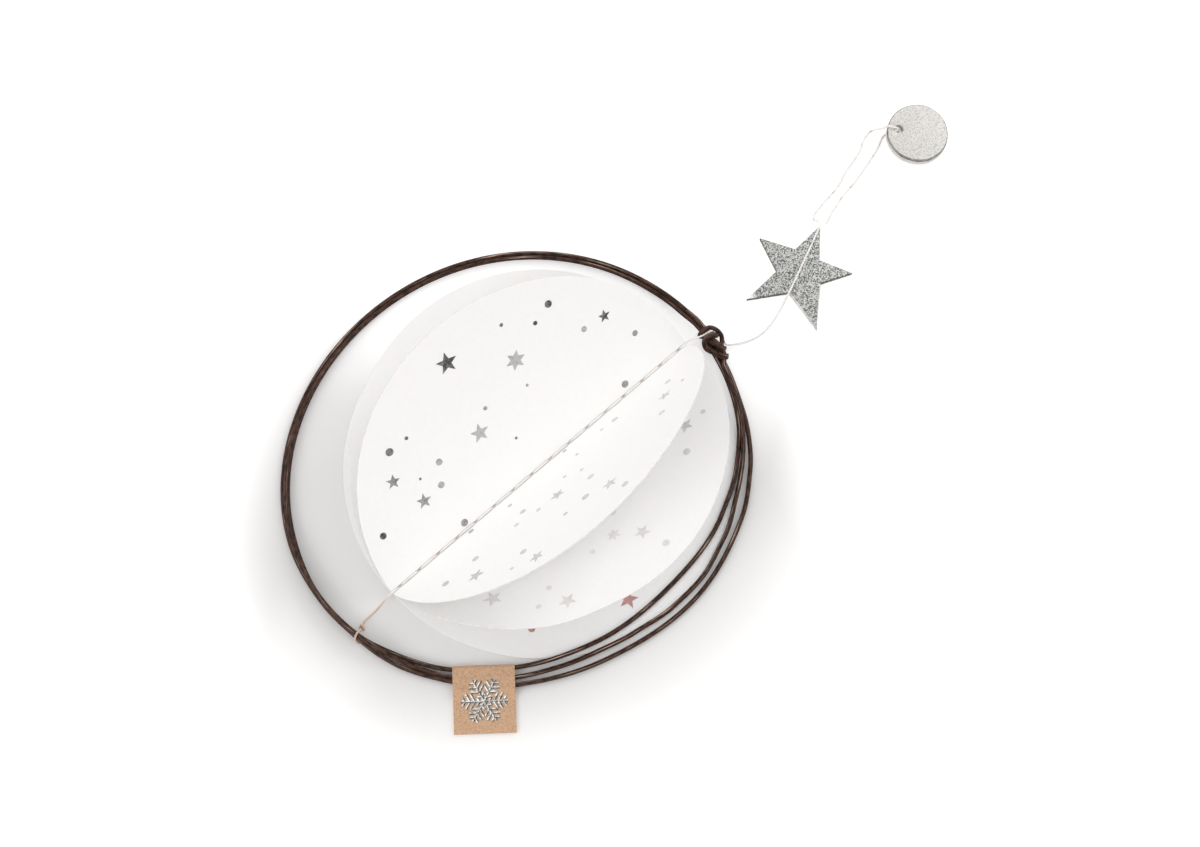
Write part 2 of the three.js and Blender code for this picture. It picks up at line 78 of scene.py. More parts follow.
# Where painted light turns the table white in view: from a place, the distances at which that starts and is
# complete.
PAINTED_LIGHT_BEYOND = (((600, -800, 0), 1005, 1048), ((-15, 0, 0), 64, 110), ((10, -15, 0), 60, 85))
EVEN_LIGHT = 0.8
EVEN_COLOUR = (1, 0.991, 0.987, 1)
PLAIN_WHITE = (1, 1, 1, 1)


def place(x, y, z):
    """A point in metres from millimetres across the seam, along it and above the table."""
    return Vector((SEAM_X + x * MM, SEAM_Y + y * MM, z * MM))


def toward(azimuth, elevation):
    """The direction of a viewer or a lamp that stands round the bauble."""
    turn = math.radians(azimuth)
    rise = math.radians(elevation)
    return Vector((math.sin(turn) * math.cos(rise), -math.cos(turn) * math.cos(rise), math.sin(rise)))


def soft_lamp(name, azimuth, watts, colour):
    """A square lamp that faces the middle of the bauble."""
    heading = toward(azimuth, LAMP_ELEVATION)
    bpy.ops.object.light_add(type="AREA", location=place(*VIEW_TARGET) + heading * (LAMP_DISTANCE * MM))
    lamp = bpy.context.object
    lamp.name = name
    lamp.rotation_euler = heading.to_track_quat("Z", "Y").to_euler()
    lamp.data.size = LAMP_WIDTH * MM
    lamp.data.energy = watts
    lamp.data.color = colour


def feed(tree, node, inputs):
    """Sets inputs of a shader node, each to a value or to the output that feeds it."""
    for socket, value in inputs.items():
        if isinstance(value, bpy.types.NodeSocket):
            tree.links.new(value, node.inputs[socket])
        else:
            node.inputs[socket].default_value = value


def shader_node(tree, kind, inputs, **settings):
    """A new shader node with its settings and inputs."""
    made = tree.nodes.new("ShaderNode" + kind)
    for setting, value in settings.items():
        setattr(made, setting, value)
    feed(tree, made, inputs)
    return made


def combined(tree, operation, one, other):
    """Two masks made one, for example the larger of them."""
    return shader_node(tree, "Math", {0: one, 1: other}, operation=operation).outputs[0]


def mask_between(tree, value, low, high, most=1, easing="SMOOTHSTEP"):
    """A mask that goes from 0 at the low value to its most at the high one."""
    inputs = {"Value": value, "From Min": low, "From Max": high, "To Max": most}
    return shader_node(tree, "MapRange", inputs, interpolation_type=easing).outputs["Result"]


def distance_from(tree, where, spot):
    """How far each point of a surface is from a place that is given in millimetres."""
    away = shader_node(tree, "VectorMath", {0: where, 1: place(*spot)}, operation="DISTANCE")
    return away.outputs["Value"]


def seen_ray(tree):
    """A mask that is 1 for what is seen, mirrored or through glass too, and 0 for light that falls."""
    ray = shader_node(tree, "LightPath", {}).outputs
    mirrored = combined(tree, "MAXIMUM", ray["Is Camera Ray"], ray["Is Glossy Ray"])
    return combined(tree, "MAXIMUM", mirrored, ray["Is Transmission Ray"])


bpy.ops.object.select_all(action="DESELECT")
for lamp_name, lamp_facts in LAMPS.items():
    soft_lamp(lamp_name, *lamp_facts)

view_heading = toward(VIEW_AZIMUTH, VIEW_ELEVATION)
bpy.ops.object.camera_add(location=place(*VIEW_TARGET) + view_heading * VIEW_DISTANCE * MM)
camera = bpy.context.object
camera.rotation_euler = view_heading.to_track_quat("Z", "Y").to_euler()
camera.data.lens = VIEW_LENS
camera.data.sensor_width = VIEW_SENSOR
scene.camera = camera

bpy.ops.mesh.primitive_plane_add(size=TABLE_SIZE * MM, location=(0, 0, -TABLE_DEPTH * MM))
table = bpy.context.object
table.name = "white_table"
table_finish = bpy.data.materials.new("white_table")
table_finish.use_nodes = True
table_tree = table_finish.node_tree
table_where = shader_node(table_tree, "TexCoord", {}).outputs["Object"]
# Painted light: the table glows in view except near the bauble's shaded side, which keeps its shadow.
painted_light = 0
for spot, starts, complete in PAINTED_LIGHT_BEYOND:
    away = distance_from(table_tree, table_where, spot)
    painted_light_share = mask_between(table_tree, away, starts * MM, complete * MM, TABLE_PAINTED_LIGHT)
    painted_light = combined(table_tree, "MAXIMUM", painted_light_share, painted_light)
feed(table_tree, table_tree.nodes["Principled BSDF"], {
    "Base Color": TABLE_WHITE,
    "Roughness": TABLE_ROUGHNESS,
    "Specular IOR Level": TABLE_SHINE,
    "Emission Color": PLAIN_WHITE,
    "Emission Strength": combined(table_tree, "MULTIPLY", seen_ray(table_tree), painted_light),
})
table.data.materials.append(table_finish)

world = bpy.data.worlds.new("even_light")
scene.world = world
world.use_nodes = True
sky_tree = world.node_tree
even_sky = sky_tree.nodes["Background"]
feed(sky_tree, even_sky, {"Color": EVEN_COLOUR, "Strength": EVEN_LIGHT})
seen_sky = shader_node(sky_tree, "Background", {"Color": PLAIN_WHITE, "Strength": 1})
sky_parts = {0: seen_ray(sky_tree), 1: even_sky.outputs[0], 2: seen_sky.outputs[0]}
sky = shader_node(sky_tree, "MixShader", sky_parts)
feed(sky_tree, sky_tree.nodes["World Output"], {"Surface": sky.outputs[0]})

# The ring is one round leather cord, dyed dark brown, with painted highlights along its back, about 1.1 m
# long.
# It is wound three times by hand; its first end passes straight through the knot, and its last end
# is wrapped round all the turns and comes back beside the first.
CORD_DIAMETER = 1.2
CORD_SIDES = 12
CORD_TURNS = 3
STEPS_PER_TURN = 240
CORD_TOUCH = 1.21
RING_RADIUS = 57.15
RING_OVAL = 2.86
RING_OVAL_LEAN = 4.9
RING_LOBE = 0.38
RING_LOBE_LEAN = 8.9
RING_CENTRE = (-5.4, -4.3)
BUNDLE_RADIUS = CORD_TOUCH / math.sqrt(3)
KNOT_ANGLE = 80
KNOT_HEIGHT = 2.2
KNOT_REACH = 6.6
KNOT_INWARD = 0.35
# How far the knot pulls the turns out of the oval, as a direction round the ring and a size.
KNOT_SWAY = ((56, 0), (70, -0.35), (77, -0.35), (84, 0.55), (86, 0.5), (91.5, -0.08), (100, 0))
TIE_ANGLE = 278
# What lies under the ring, the paper's edge, the knot's wraps and the tie: how much it lifts the ring, its
# direction, and how far to both sides the lift stays level and where it ends, in degrees.
LIFTS = (
    (0.45, -8, 66, 80),
    (KNOT_HEIGHT - (CORD_DIAMETER + BUNDLE_RADIUS) / 2, KNOT_ANGLE, 6, 24),
    (0.35, TIE_ANGLE, 1, 12),
)
# How the turns lie apart, where the middle one lies between its neighbours, and how far the bundle
# has twisted since the knot, each as a direction in degrees round the ring and a size.
TURN_SPACING = ((-82, 1.21), (-63, 1.3), (-50, 1.8), (-41, 2.25), (-19, 2.6), (9, 3.43), (34, 2.5),
                (46, 1.8), (58, 1.4), (70, 1.21))
MIDDLE_TURN = ((-70, 0), (-56, 0.4), (-41, 0.3), (-30, 0), (-19, -0.2), (-8, 0.16), (4, 0.9), (15, 1.2),
               (27, 0.43), (40, -0.5), (52, -0.35), (66, 0))
BUNDLE_TWIST = ((0, 0), (14, 50), (40, 62), (90, 70), (180, 120))
TURN_ORDER = (1, -1, 0)
# The turns come apart over the first stretch and together again over the second, in degrees.
FLAT_FROM = (-84, -62)
FLAT_TO = (40, 68)
# At the tie they are stacked: in which direction, and to both sides how far fully and how far at all. Then
# how far out each turn lies there, and how many turns are under it.
STACK_SPREAD = (-92, 4, 26)
STACK_OUT = (0.2, -0.2, 0)
STACK_ORDER = (1, 0, 2)
# The two ends in the knot, out from the bundle's middle, along the ring and up.
FIRST_END = ((1, 5.2, 0.75), (0.9, 3.9, 0.72), (0.75, 2.6, 0.72), (0.65, 1.6, 0.75), (0.6, 0.8, 0.95),
             (0.85, -0.21, 1.35), (1.15, -1.45, 1.5), (1.55, -2.65, 1.65), (2, -3.4, 1.75))
LAST_END = ((0.45, -5.8, 0.82), (1, -4.9, 0.78), (1.5, -4, 0.45), (1.75, -3, 0.2), (1.85, -2.2, 0.1),
            (2.33, -1.24, 0.2), (3.01, -0.32, 0.3), (3.51, 0.69, 0.4), (3.5, 1.78, 0.6),
            (3.16, 2.66, 0.9), (2.53, 3.41, 1.3), (1.65, 3.84, 1.75), (0.7, 3.95, 1.95),
            (-0.1, 4, 1.5), (-0.75, 4, 0.6), (-0.95, 3.9, -0.4), (-0.2, 3.65, -1.4), (0.9, 3.3, -1.6),
            (2.3, 2.6, -1.2), (2.6, 1.9, -0.2), (2.45, 1.25, 0.9), (2, 1.15, 1.65), (1.2, 1.5, 2.1),
            (0.5, 1.75, 2.2), (-0.45, 1.75, 2), (-1.25, 1.26, 1.45), (-1.61, 0.52, 0.85),
            (-1.62, -0.43, 0.6), (-1.25, -1.37, 0.8), (-0.75, -2.12, 0.9), (-0.19, -3.08, 1.05),
            (0.55, -4.38, 1.6), (1.82, -5.39, 1.9))
END_SPACING = 0.3
# The two ends are thicker: how much, over how many points, and over how many of those that grows.
END_FLARES = ((1.55, 30, 16), (1.28, 46, 12))
UV_PER_METRE = 100
LEATHER_DARK = (0.0155, 0.0074, 0.005, 1)
LEATHER_BROWN = (0.078, 0.037, 0.0246, 1)
LEATHER_HIGHLIGHT = (0.56, 0.42, 0.33, 1)
LEATHER_SHINE = 0.22
# Painted highlights lie in broken streaks where the back of the cord faces up, from the first share to the
# second.
HIGHLIGHT_FACING = (0.7, 0.95)
STREAK_SCALE = 1
STREAK_EDGE = (0.56, 0.68)
STREAK_STRETCH = (0.8, 10, 1)
PATCH_DETAIL = 4
GRAIN_DETAIL = 3
# Which of a curve's four knots each of its blends runs between, round by round.
BLEND_SPANS = (((0, 1), (1, 2), (2, 3)), ((0, 2), (1, 3)), ((1, 2),))


def smooth_share(value, low, high):
    """From 0 at low to 1 at high, level at both."""
    share = min(max((value - low) / (high - low), 0), 1)
    return share * share * (3 - 2 * share)


def between(keys, at):
    """A size that eases from one key to the next."""
    if at <= keys[0][0]:
        return keys[0][1]
    for (low, size), (high, next_size) in zip(keys, keys[1:]):
        if at <= high:
            return size + (next_size - size) * smooth_share(at, low, high)
    return keys[-1][1]


def folded(angle):
    """A direction in the half turns either side of +X."""
    return (angle + 180) % 360 - 180


def hump(angle, middle, level, reach):
    """A hump of height 1 with a level top and smooth feet."""
    return 1 - smooth_share(abs(folded(angle - middle)), level, reach)


def ring_radius(angle):
    """The middle line of the turns in plan, a slightly swayed oval."""
    oval = RING_OVAL * math.cos(math.radians(2 * (angle + RING_OVAL_LEAN)))
    lobe = RING_LOBE * math.sin(math.radians(3 * (angle - RING_LOBE_LEAN)))
    return RING_RADIUS - oval + lobe


def polar(degrees, radius):
    """Across and along, from a direction and a distance."""
    turn = math.radians(degrees)
    return radius * math.cos(turn), radius * math.sin(turn)


def round_centre(angle, radius, height):
    """A point in millimetres from its direction and distance round the ring's centre."""
    across, along = polar(angle, radius)
    return (RING_CENTRE[0] + across, RING_CENTRE[1] + along, height)


def beside_ring(angle, out, height):
    """A point in millimetres beside the middle line of the turns and above the table."""
    sway = between(KNOT_SWAY, folded(angle))
    return round_centre(angle, ring_radius(angle) + sway + out, height)


def knot_point(out, along, up):
    """A point of the knot, out from its middle, along the ring and up."""
    angle = KNOT_ANGLE + math.degrees(along / ring_radius(KNOT_ANGLE))
    return round_centre(angle, ring_radius(angle) - KNOT_INWARD + out, KNOT_HEIGHT + up)


def lift_at(angle):
    """How much the ring is lifted by what lies between it and the table."""
    return max(lift * hump(angle, *spread) for lift, *spread in LIFTS)


def bundle_places(since_knot):
    """Where the turns lie in the bundle, out from its middle and up, seen along the ring."""
    twist = between(BUNDLE_TWIST, since_knot % 360)
    return [polar(90 - twist - 360 * turn / CORD_TURNS, BUNDLE_RADIUS) for turn in range(CORD_TURNS)]


def bundle_height(since_knot):
    """Height of the bundle's middle, whose lowest turn rests on what is under the ring."""
    lowest = min(up for out, up in bundle_places(since_knot))
    return CORD_DIAMETER / 2 + lift_at(KNOT_ANGLE + since_knot) - lowest


def turn_point(turn, since_knot):
    """The middle of one turn: in the bundle, stacked at the tie, or side by side on the right."""
    angle = folded(KNOT_ANGLE + since_knot)
    out, up = bundle_places(since_knot)[turn]
    lowest = CORD_DIAMETER / 2 + lift_at(angle)
    stacked = hump(angle, *STACK_SPREAD)
    out += (STACK_OUT[turn] - out) * stacked ** 2
    height = bundle_height(since_knot) + up
    height += (lowest + CORD_DIAMETER * STACK_ORDER[turn] - height) * (1 - (1 - stacked) ** 2)
    flat = smooth_share(angle, *FLAT_FROM) * (1 - smooth_share(angle, *FLAT_TO))
    flat_out = TURN_ORDER[turn] * between(TURN_SPACING, angle)
    if TURN_ORDER[turn] == 0:
        flat_out = between(MIDDLE_TURN, angle)
    out += (flat_out - out) * (1 - (1 - flat) ** 2)
    height += (lowest - height) * flat ** 2
    return beside_ring(angle, out, height)


def smooth_route(stops, spacing):
    """Evenly dense points of a smooth curve through a few given stops."""
    stops = [Vector(stop) for stop in stops]
    stops = [2 * stops[0] - stops[1]] + stops + [2 * stops[-1] - stops[-2]]
    points = []
    for before, start, end, after in zip(stops, stops[1:], stops[2:], stops[3:]):
        knots = [0]
        for one, other in ((before, start), (start, end), (end, after)):
            knots.append(knots[-1] + math.sqrt((other - one).length))
        count = max(2, round((end - start).length / spacing))
        for step in range(count):
            at = knots[1] + (knots[2] - knots[1]) * step / count
            level = [before, start, end, after]
            for spans in BLEND_SPANS:
                level = [
                    level[i].lerp(level[i + 1], (at - knots[low]) / (knots[high] - knots[low]))
                    for i, (low, high) in enumerate(spans)
                ]
            points.append(level[0])
    return points + [stops[-2]]


def route_frames(route):
    """The heading of a route at each point, and two directions across it that never spin."""
    frames = []
    across = None
    for i, point in enumerate(route):
        heading = (route[min(i + 1, len(route) - 1)] - route[max(i - 1, 0)]).normalized()
        if across is None:
            across = Vector((0, 0, 1)).cross(heading)
        across = (across - heading * across.dot(heading)).normalized()
        frames.append((heading, across.copy(), heading.cross(across)))
    return frames


def tube(name, strands, sides, finish):
    """One mesh of closed tubes. A strand is a route in metres and its radius at each point; the UV map
    runs along it in centimetres and once round it, and facing_up is 1 along its back."""
    corners = []
    faces = []
    face_uvs = []
    facing_up = []
    for route, radii in strands:
        first = len(corners)
        along = 0
        lengths = []
        for i, (point, (heading, across, up)) in enumerate(zip(route, route_frames(route))):
            if i:
                along += (point - route[i - 1]).length * UV_PER_METRE
            lengths.append(along)
            for k in range(sides):
                turn = 2 * math.pi * (k / sides - 0.25)
                outward = across * math.cos(turn) + up * math.sin(turn)
                corners.append(point + radii[i] * outward)
                facing_up.append(outward.z)
        for i in range(len(route) - 1):
            for k in range(sides):
                low = first + i * sides
                high = low + sides
                beside = (k + 1) % sides
                faces.append((low + k, low + beside, high + beside, high + k))
                left, right = k / sides, (k + 1) / sides
                face_uvs.append(((lengths[i], left), (lengths[i], right),
                                 (lengths[i + 1], right), (lengths[i + 1], left)))
        last = first + (len(route) - 1) * sides
        faces.append(tuple(first + k for k in reversed(range(sides))))
        faces.append(tuple(last + k for k in range(sides)))
        face_uvs.append(((0, 0.5),) * sides)
        face_uvs.append(((along, 0.5),) * sides)
    mesh = bpy.data.meshes.new(name)
    mesh.from_pydata(corners, [], faces)
    mesh.materials.append(finish.material)
    mesh.attributes.new("facing_up", "FLOAT", "POINT").data.foreach_set("value", facing_up)
    uv_map = mesh.uv_layers.new(name="along_and_round")
    for face, uvs in zip(mesh.polygons, face_uvs):
        face.use_smooth = len(uvs) == 4
        for loop, uv in zip(face.loop_indices, uvs):
            uv_map.data[loop].uv = uv
    piece = bpy.data.objects.new(name, mesh)
    scene.collection.objects.link(piece)
    return piece


# Worn grain, shared by every finish: soft patches of a second colour, and a fine grain over them.
grain_group = bpy.data.node_groups.new("worn_grain", "ShaderNodeTree")
grain_group.interface.new_socket(name="Vector", in_out="INPUT", socket_type="NodeSocketVector")
for socket_name in ("Patch Scale", "Grain Scale", "Patch From", "Patch To"):
    grain_group.interface.new_socket(name=socket_name, in_out="INPUT", socket_type="NodeSocketFloat")
for socket_name in ("Patches", "Grain"):
    grain_group.interface.new_socket(name=socket_name, in_out="OUTPUT", socket_type="NodeSocketFloat")
grain_in = grain_group.nodes.new("NodeGroupInput").outputs
patch_noise, fine_noise = (
    shader_node(grain_group, "TexNoise", {"Vector": grain_in["Vector"], "Scale": scale, "Detail": detail})
    for scale, detail in ((grain_in["Patch Scale"], PATCH_DETAIL), (grain_in["Grain Scale"], GRAIN_DETAIL))
)
patch_edge = (grain_in["Patch From"], grain_in["Patch To"])
patches = mask_between(grain_group, patch_noise.outputs["Fac"], *patch_edge)
grain_out = grain_group.nodes.new("NodeGroupOutput")
feed(grain_group, grain_out, {"Patches": patches, "Grain": fine_noise.outputs["Fac"]})


class Finish:
    """A material whose two colours are mixed by the worn grain, with the grain as its bump.

    The scales of its patches and grain are those of the noise, its edge says how sharp the patches are,
    its roughness goes from the first value to the second, and its bump is a strength and a depth. What is
    plain all over the surface is set as it is given.
    """

    def __init__(self, name, dark, light, patch, grain, edge, roughness, bump,
                 stretch=None, lies_on="Object", plain=()):
        self.material = bpy.data.materials.new(name)
        self.material.use_nodes = True
        self.tree = self.material.node_tree
        self.shader = self.tree.nodes["Principled BSDF"]
        self.where = shader_node(self.tree, "TexCoord", {}).outputs[lies_on]
        self.grain = self.worn_grain(patch, grain, edge, stretch)
        self.colour = dark
        self.tint(self.grain.outputs["Patches"], light)
        fine = self.grain.outputs["Grain"]
        dull = {"Value": fine, "To Min": roughness[0], "To Max": roughness[1]}
        relief = {"Strength": bump[0], "Distance": bump[1] * MM, "Height": fine}
        feed(self.tree, self.shader, {
            "Roughness": shader_node(self.tree, "MapRange", dull).outputs["Result"],
            "Normal": shader_node(self.tree, "Bump", relief).outputs["Normal"],
            **dict(plain),
        })

    def worn_grain(self, patch, grain, edge, stretch):
        """The worn grain at its scales, stretched where that is asked for."""
        where = self.where
        if stretch:
            where = shader_node(self.tree, "Mapping", {"Vector": where, "Scale": stretch}).outputs["Vector"]
        scales = {"Patch Scale": patch, "Grain Scale": grain, "Patch From": edge[0], "Patch To": edge[1]}
        return shader_node(self.tree, "Group", {"Vector": where, **scales}, node_tree=grain_group)

    def tint(self, mask, colour, blend="MIX"):
        """Lays another colour over the one so far, by a mask."""
        self.mix = shader_node(self.tree, "Mix", {"Factor": mask, "A": self.colour, "B": colour},
                               data_type="RGBA", blend_type=blend)
        self.colour = self.mix.outputs["Result"]
        feed(self.tree, self.shader, {"Base Color": self.colour})


knot_degrees = math.degrees(KNOT_REACH / ring_radius(KNOT_ANGLE))
wound_degrees = 360 * CORD_TURNS - 2 * knot_degrees
ring_steps = STEPS_PER_TURN * CORD_TURNS
wound = []
for step in range(ring_steps + 1):
    since = knot_degrees + wound_degrees * step / ring_steps
    wound.append(Vector(turn_point(min(int(since // 360), CORD_TURNS - 1), since)))
first_end = smooth_route([wound[0]] + [knot_point(*stop) for stop in FIRST_END], END_SPACING)
last_end = smooth_route([wound[-1]] + [knot_point(*stop) for stop in LAST_END], END_SPACING)
ring_route = [place(*point) for point in first_end[:0:-1] + wound + last_end[1:]]
ring_radii = [CORD_DIAMETER / 2 * MM] * len(ring_route)
for is_last, (flare, flare_steps, growing_steps) in enumerate(END_FLARES):
    for step in range(flare_steps):
        share = smooth_share(flare_steps - step, 0, growing_steps)
        ring_radii[-1 - step if is_last else step] *= 1 + (flare - 1) * share

leather = Finish("brown_leather", LEATHER_DARK, LEATHER_BROWN, patch=1, grain=9, edge=(0.36, 0.6),
                 roughness=(0.42, 0.7), bump=(0.35, 0.08), stretch=(5, 5, 1), lies_on="UV",
                 plain={"Specular IOR Level": LEATHER_SHINE})
# Painted highlight: a pale colour in streaks on the upper side of each turn.
cord_back = shader_node(leather.tree, "Attribute", {}, attribute_name="facing_up")
highlight_side = mask_between(leather.tree, cord_back.outputs["Fac"], *HIGHLIGHT_FACING)
streaks = leather.worn_grain(STREAK_SCALE, STREAK_SCALE, STREAK_EDGE, STREAK_STRETCH)
leather.tint(combined(leather.tree, "MULTIPLY", highlight_side, streaks.outputs["Patches"]), LEATHER_HIGHLIGHT)
ring = tube("leather_ring", [(ring_route, ring_radii)], CORD_SIDES, leather)
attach(ring, "ring")
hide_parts("ring_cord")

# Three circles of thick white paper, printed with small stars and dots in foil, creased on one line
# and sewn together there. Their six halves stand open like leaves, and each one bows a little
# because it is only held at its crease.
PAPER_RADIUS = 50
PAPER_THICKNESS = 0.28
CREASE_FROM_SEAM = 0.37
CREASE_HEIGHTS = (0.15, 0.75, 1.35)
FOOT_WIDTH = 0.18
LEAF_ROWS = 64
LEAF_COLUMNS = 24
MERGE_DISTANCE = 0.01
SHEET_SMOOTH_BELOW = 40
PAPER_WHITE = (0.975, 0.973, 0.97, 1)
PAPER_FIBRE = (0.988, 0.986, 0.984, 1)
PAPER_CUT_SHADE = (0.72, 0.71, 0.7, 1)
PAPER_CUT = (0.82, 0.81, 0.8, 1)
PAPER_SHINE = 0.25
PAPER_SCATTER = 0.6
PAPER_SCATTER_COLOUR = (1, 0.85, 0.8)
LIGHT_THROUGH_PAPER = 0.15
FOIL_LIFT = 0.012
FOIL_THICKNESS = 0.02
FOIL_METALLIC = 0.35
FOIL_UNEVEN = 0.35
DOT_SIDES = 20
# How near to its middle the notches of a printed star come, by the number of its points.
MARK_NOTCHES = {5: 0.42, 6: 0.5}
# Each leaf: its layer in the stack, its side of the seam, its angle from flat on the right at the seam's
# middle, and how much that angle grows towards the knot and towards both ends alike, in degrees.
LEAVES = {
    "lower_right": (0, 1, 0, 0, 0),
    "middle_right": (1, 1, 24.5, 0, 10.2),
    "upper_right": (2, 1, 52.8, 5.4, 2.2),
    "upper_left": (2, -1, 132.75, -5.5, 2.75),
    "middle_left": (1, -1, 152.5, 0, 0),
    "lower_left": (0, -1, 180, 0, 0),
}
# One leaf has a shallow dip on the label's side: its place along the seam, its reach and its degrees.
DIPPED_LEAF = "middle_right"
DIP_MIDDLE = -35
DIP_REACH = 22.5
DIP_DEPTH = 3
# Printed stars: along the seam and out from it, the size, the number of points, a turn, and how pale the
# foil is painted, a painted reflection. Printed dots: along the seam and out from it, the size and how pale
# the foil is painted.
STARS = {
    "upper_left": (
        (-5.7, 40.2, 3, 5, -2, 0), (9.3, 28.7, 2.8, 6, 6, 0.75), (-8.4, 18.7, 2.7, 5, -1, 0.8),
        (-33.4, 23.1, 2, 5, 8, 0.3), (-29.8, 13.6, 2.1, 5, 4, 0.4), (34.9, 22.3, 1.8, 5, 0, 0),
    ),
    "upper_right": (
        (31.8, 20.2, 2.1, 5, 10, 0.3), (-5.4, 19.9, 2.3, 5, 25, 0.2), (3, 37.1, 2.3, 5, 0, 0.4),
        (-22.8, 38.4, 2.2, 5, 14, 0.2), (-34.7, 23.3, 2.4, 5, 30, 0.1),
    ),
    "middle_right": (
        (32.1, 21, 2.3, 5, 8, 0.1), (4, 36.5, 2.3, 5, 20, 0.6), (-1.3, 31.3, 1.9, 6, 5, 0.7),
        (-21.9, 38, 2.4, 5, 16, 0.6), (-34, 22.3, 2.6, 5, 4, 0.5),
    ),
    "lower_right": ((-7, 40.2, 2.7, 5, 40, 0.3),),
}
DOTS = {
    "upper_left": (
        (24, 35.6, 1, 0), (18.6, 33.6, 0.6, 0), (11, 39.3, 0.5, 0), (28.6, 23.1, 0.8, 0.7),
        (39.6, 12.3, 0.8, 0.3), (8.4, 20.9, 0.4, 0.5), (-3.8, 23.3, 0.55, 0.4), (-1.3, 10.9, 0.4, 0.3),
        (-24.5, 30.4, 0.5, 0.1), (-29.9, 30.2, 1.05, 0.1), (-21.1, 19.5, 0.9, 0.6),
        (-23.9, 14.1, 0.9, 0.6), (-27.4, 19.1, 0.35, 0.1), (-43.3, 13.2, 0.9, 0), (-24.5, 1.6, 1, 0.5),
        (30.4, 2.3, 1, 0.5),
    ),
    "middle_left": ((-8.5, 43.1, 0.6, 0.2), (-11.5, 42.3, 0.6, 0.4)),
    "upper_right": (
        (-2.8, 32.6, 1.1, 0.3), (36.3, 13.7, 0.9, 0.4), (37.7, 21, 0.6, 0.4), (26.6, 27.8, 1, 0.5),
        (20.8, 8, 1, 0.4), (16.7, 7.2, 0.5, 0.3), (7.3, 8.8, 0.5, 0.3), (3.7, 18.5, 0.6, 0.4),
        (0.1, 14.4, 0.6, 0.5), (2.8, 25.7, 1, 0.5), (4.4, 43.8, 1, 0.4), (-9.2, 31.7, 0.7, 0.5),
        (-13.6, 5.2, 0.7, 0.3), (-13.6, 13.4, 0.9, 0.3), (-11.3, 18.9, 0.7, 0.4),
        (-17.6, 16.9, 0.8, 0.5), (-23.2, 31.3, 1, 0.4), (-28.5, 33.9, 0.6, 0.5), (-30.8, 15.9, 1, 0.3),
        (-40.5, 15.4, 1, 0.1), (-24.8, 1.7, 0.8, 0), (7, 1.4, 0.6, 0),
    ),
    "middle_right": (
        (27, 27.6, 1, 0.2), (37.7, 21.9, 0.7, 0.3), (5.7, 44, 1, 0.6), (-8.2, 31.2, 0.7, 0.7),
        (-22.5, 31.1, 0.7, 0.6), (-27.8, 33.5, 0.7, 0.7), (3, 25.8, 0.8, 0.6),
    ),
    "lower_right": ((-30.1, 29.8, 0.9, 0.3),),
}
# Painted reflection: each leaf's foil colours are darker or paler by what its foil reflects as the leaf
# faces.
FOIL_REFLECTION_COLOURS = {
    "upper_left": ((0.06, 0.056, 0.058, 1), (0.52, 0.515, 0.51, 1)),
    "middle_left": ((0.16, 0.155, 0.155, 1), (0.4, 0.39, 0.385, 1)),
    "upper_right": ((0.5, 0.485, 0.48, 1), (0.82, 0.8, 0.79, 1)),
    "middle_right": ((0.62, 0.6, 0.59, 1), (0.88, 0.86, 0.85, 1)),
    "lower_right": ((0.5, 0.245, 0.235, 1), (0.68, 0.4, 0.385, 1)),
}


def leaf_stand(leaf, along):
    """How far a leaf stands up from flat on the right at a place along the seam, in radians."""
    angle, to_knot, to_ends = LEAVES[leaf][2:]
    share = along / PAPER_RADIUS
    angle += to_knot * share + to_ends * share * share
    if leaf == DIPPED_LEAF:
        from_dip = min(abs(along - DIP_MIDDLE) / DIP_REACH, 1)
        angle -= DIP_DEPTH * math.cos(math.pi / 2 * from_dip) ** 2
    return math.radians(angle)


def leaf_point(leaf, along, out, lift):
    """A point in millimetres on a leaf: along the seam, out from the crease and above the paper.

    The foot of the leaf lies flat beside the stitches, and the leaf stands up from there.
    """
    layer, side = LEAVES[leaf][:2]
    stand = leaf_stand(leaf, along)
    rise = max(out - FOOT_WIDTH, 0)
    foot = CREASE_FROM_SEAM + min(out, FOOT_WIDTH)
    x = side * foot + rise * math.cos(stand) - side * lift * math.sin(stand)
    z = CREASE_HEIGHTS[layer] + rise * math.sin(stand) + side * lift * math.cos(stand)
    return (x, along, z)


def deselect():
    """Nothing selected, so that the next operator only works on what it makes."""
    if bpy.context.object and bpy.context.object.mode != "OBJECT":
        bpy.ops.object.mode_set(mode="OBJECT")
    bpy.ops.object.select_all(action="DESELECT")


def finish_modifiers(piece):
    """Applies the modifiers of the piece in their order."""
    bpy.context.view_layer.objects.active = piece
    for modifier in list(piece.modifiers):
        bpy.ops.object.modifier_apply(modifier=modifier.name)


def edit_all():
    """Edit mode, with the whole mesh selected."""
    bpy.ops.object.mode_set(mode="EDIT")
    bpy.ops.mesh.select_all(action="SELECT")


def face_outward():
    """Turns every face outward and goes back to object mode."""
    bpy.ops.mesh.select_all(action="SELECT")
    bpy.ops.mesh.normals_make_consistent(inside=False)
    bpy.ops.object.mode_set(mode="OBJECT")


def extrude_up(rise):
    """Extrudes what is selected straight up."""
    bpy.ops.mesh.extrude_region_move(TRANSFORM_OT_translate={"value": (0, 0, rise)})


def dress(piece, *finishes):
    """Gives a piece its materials in their order."""
    for finish in finishes:
        piece.data.materials.append(finish.material)


def thicken(piece, thickness, edge_material=0):
    """Gives a sheet its thickness, to both sides alike, and its cut edge a later material if it has one."""
    wall = piece.modifiers.new("thickness", "SOLIDIFY")
    wall.thickness = thickness * MM
    wall.offset = 0
    wall.material_offset_rim = edge_material
    finish_modifiers(piece)


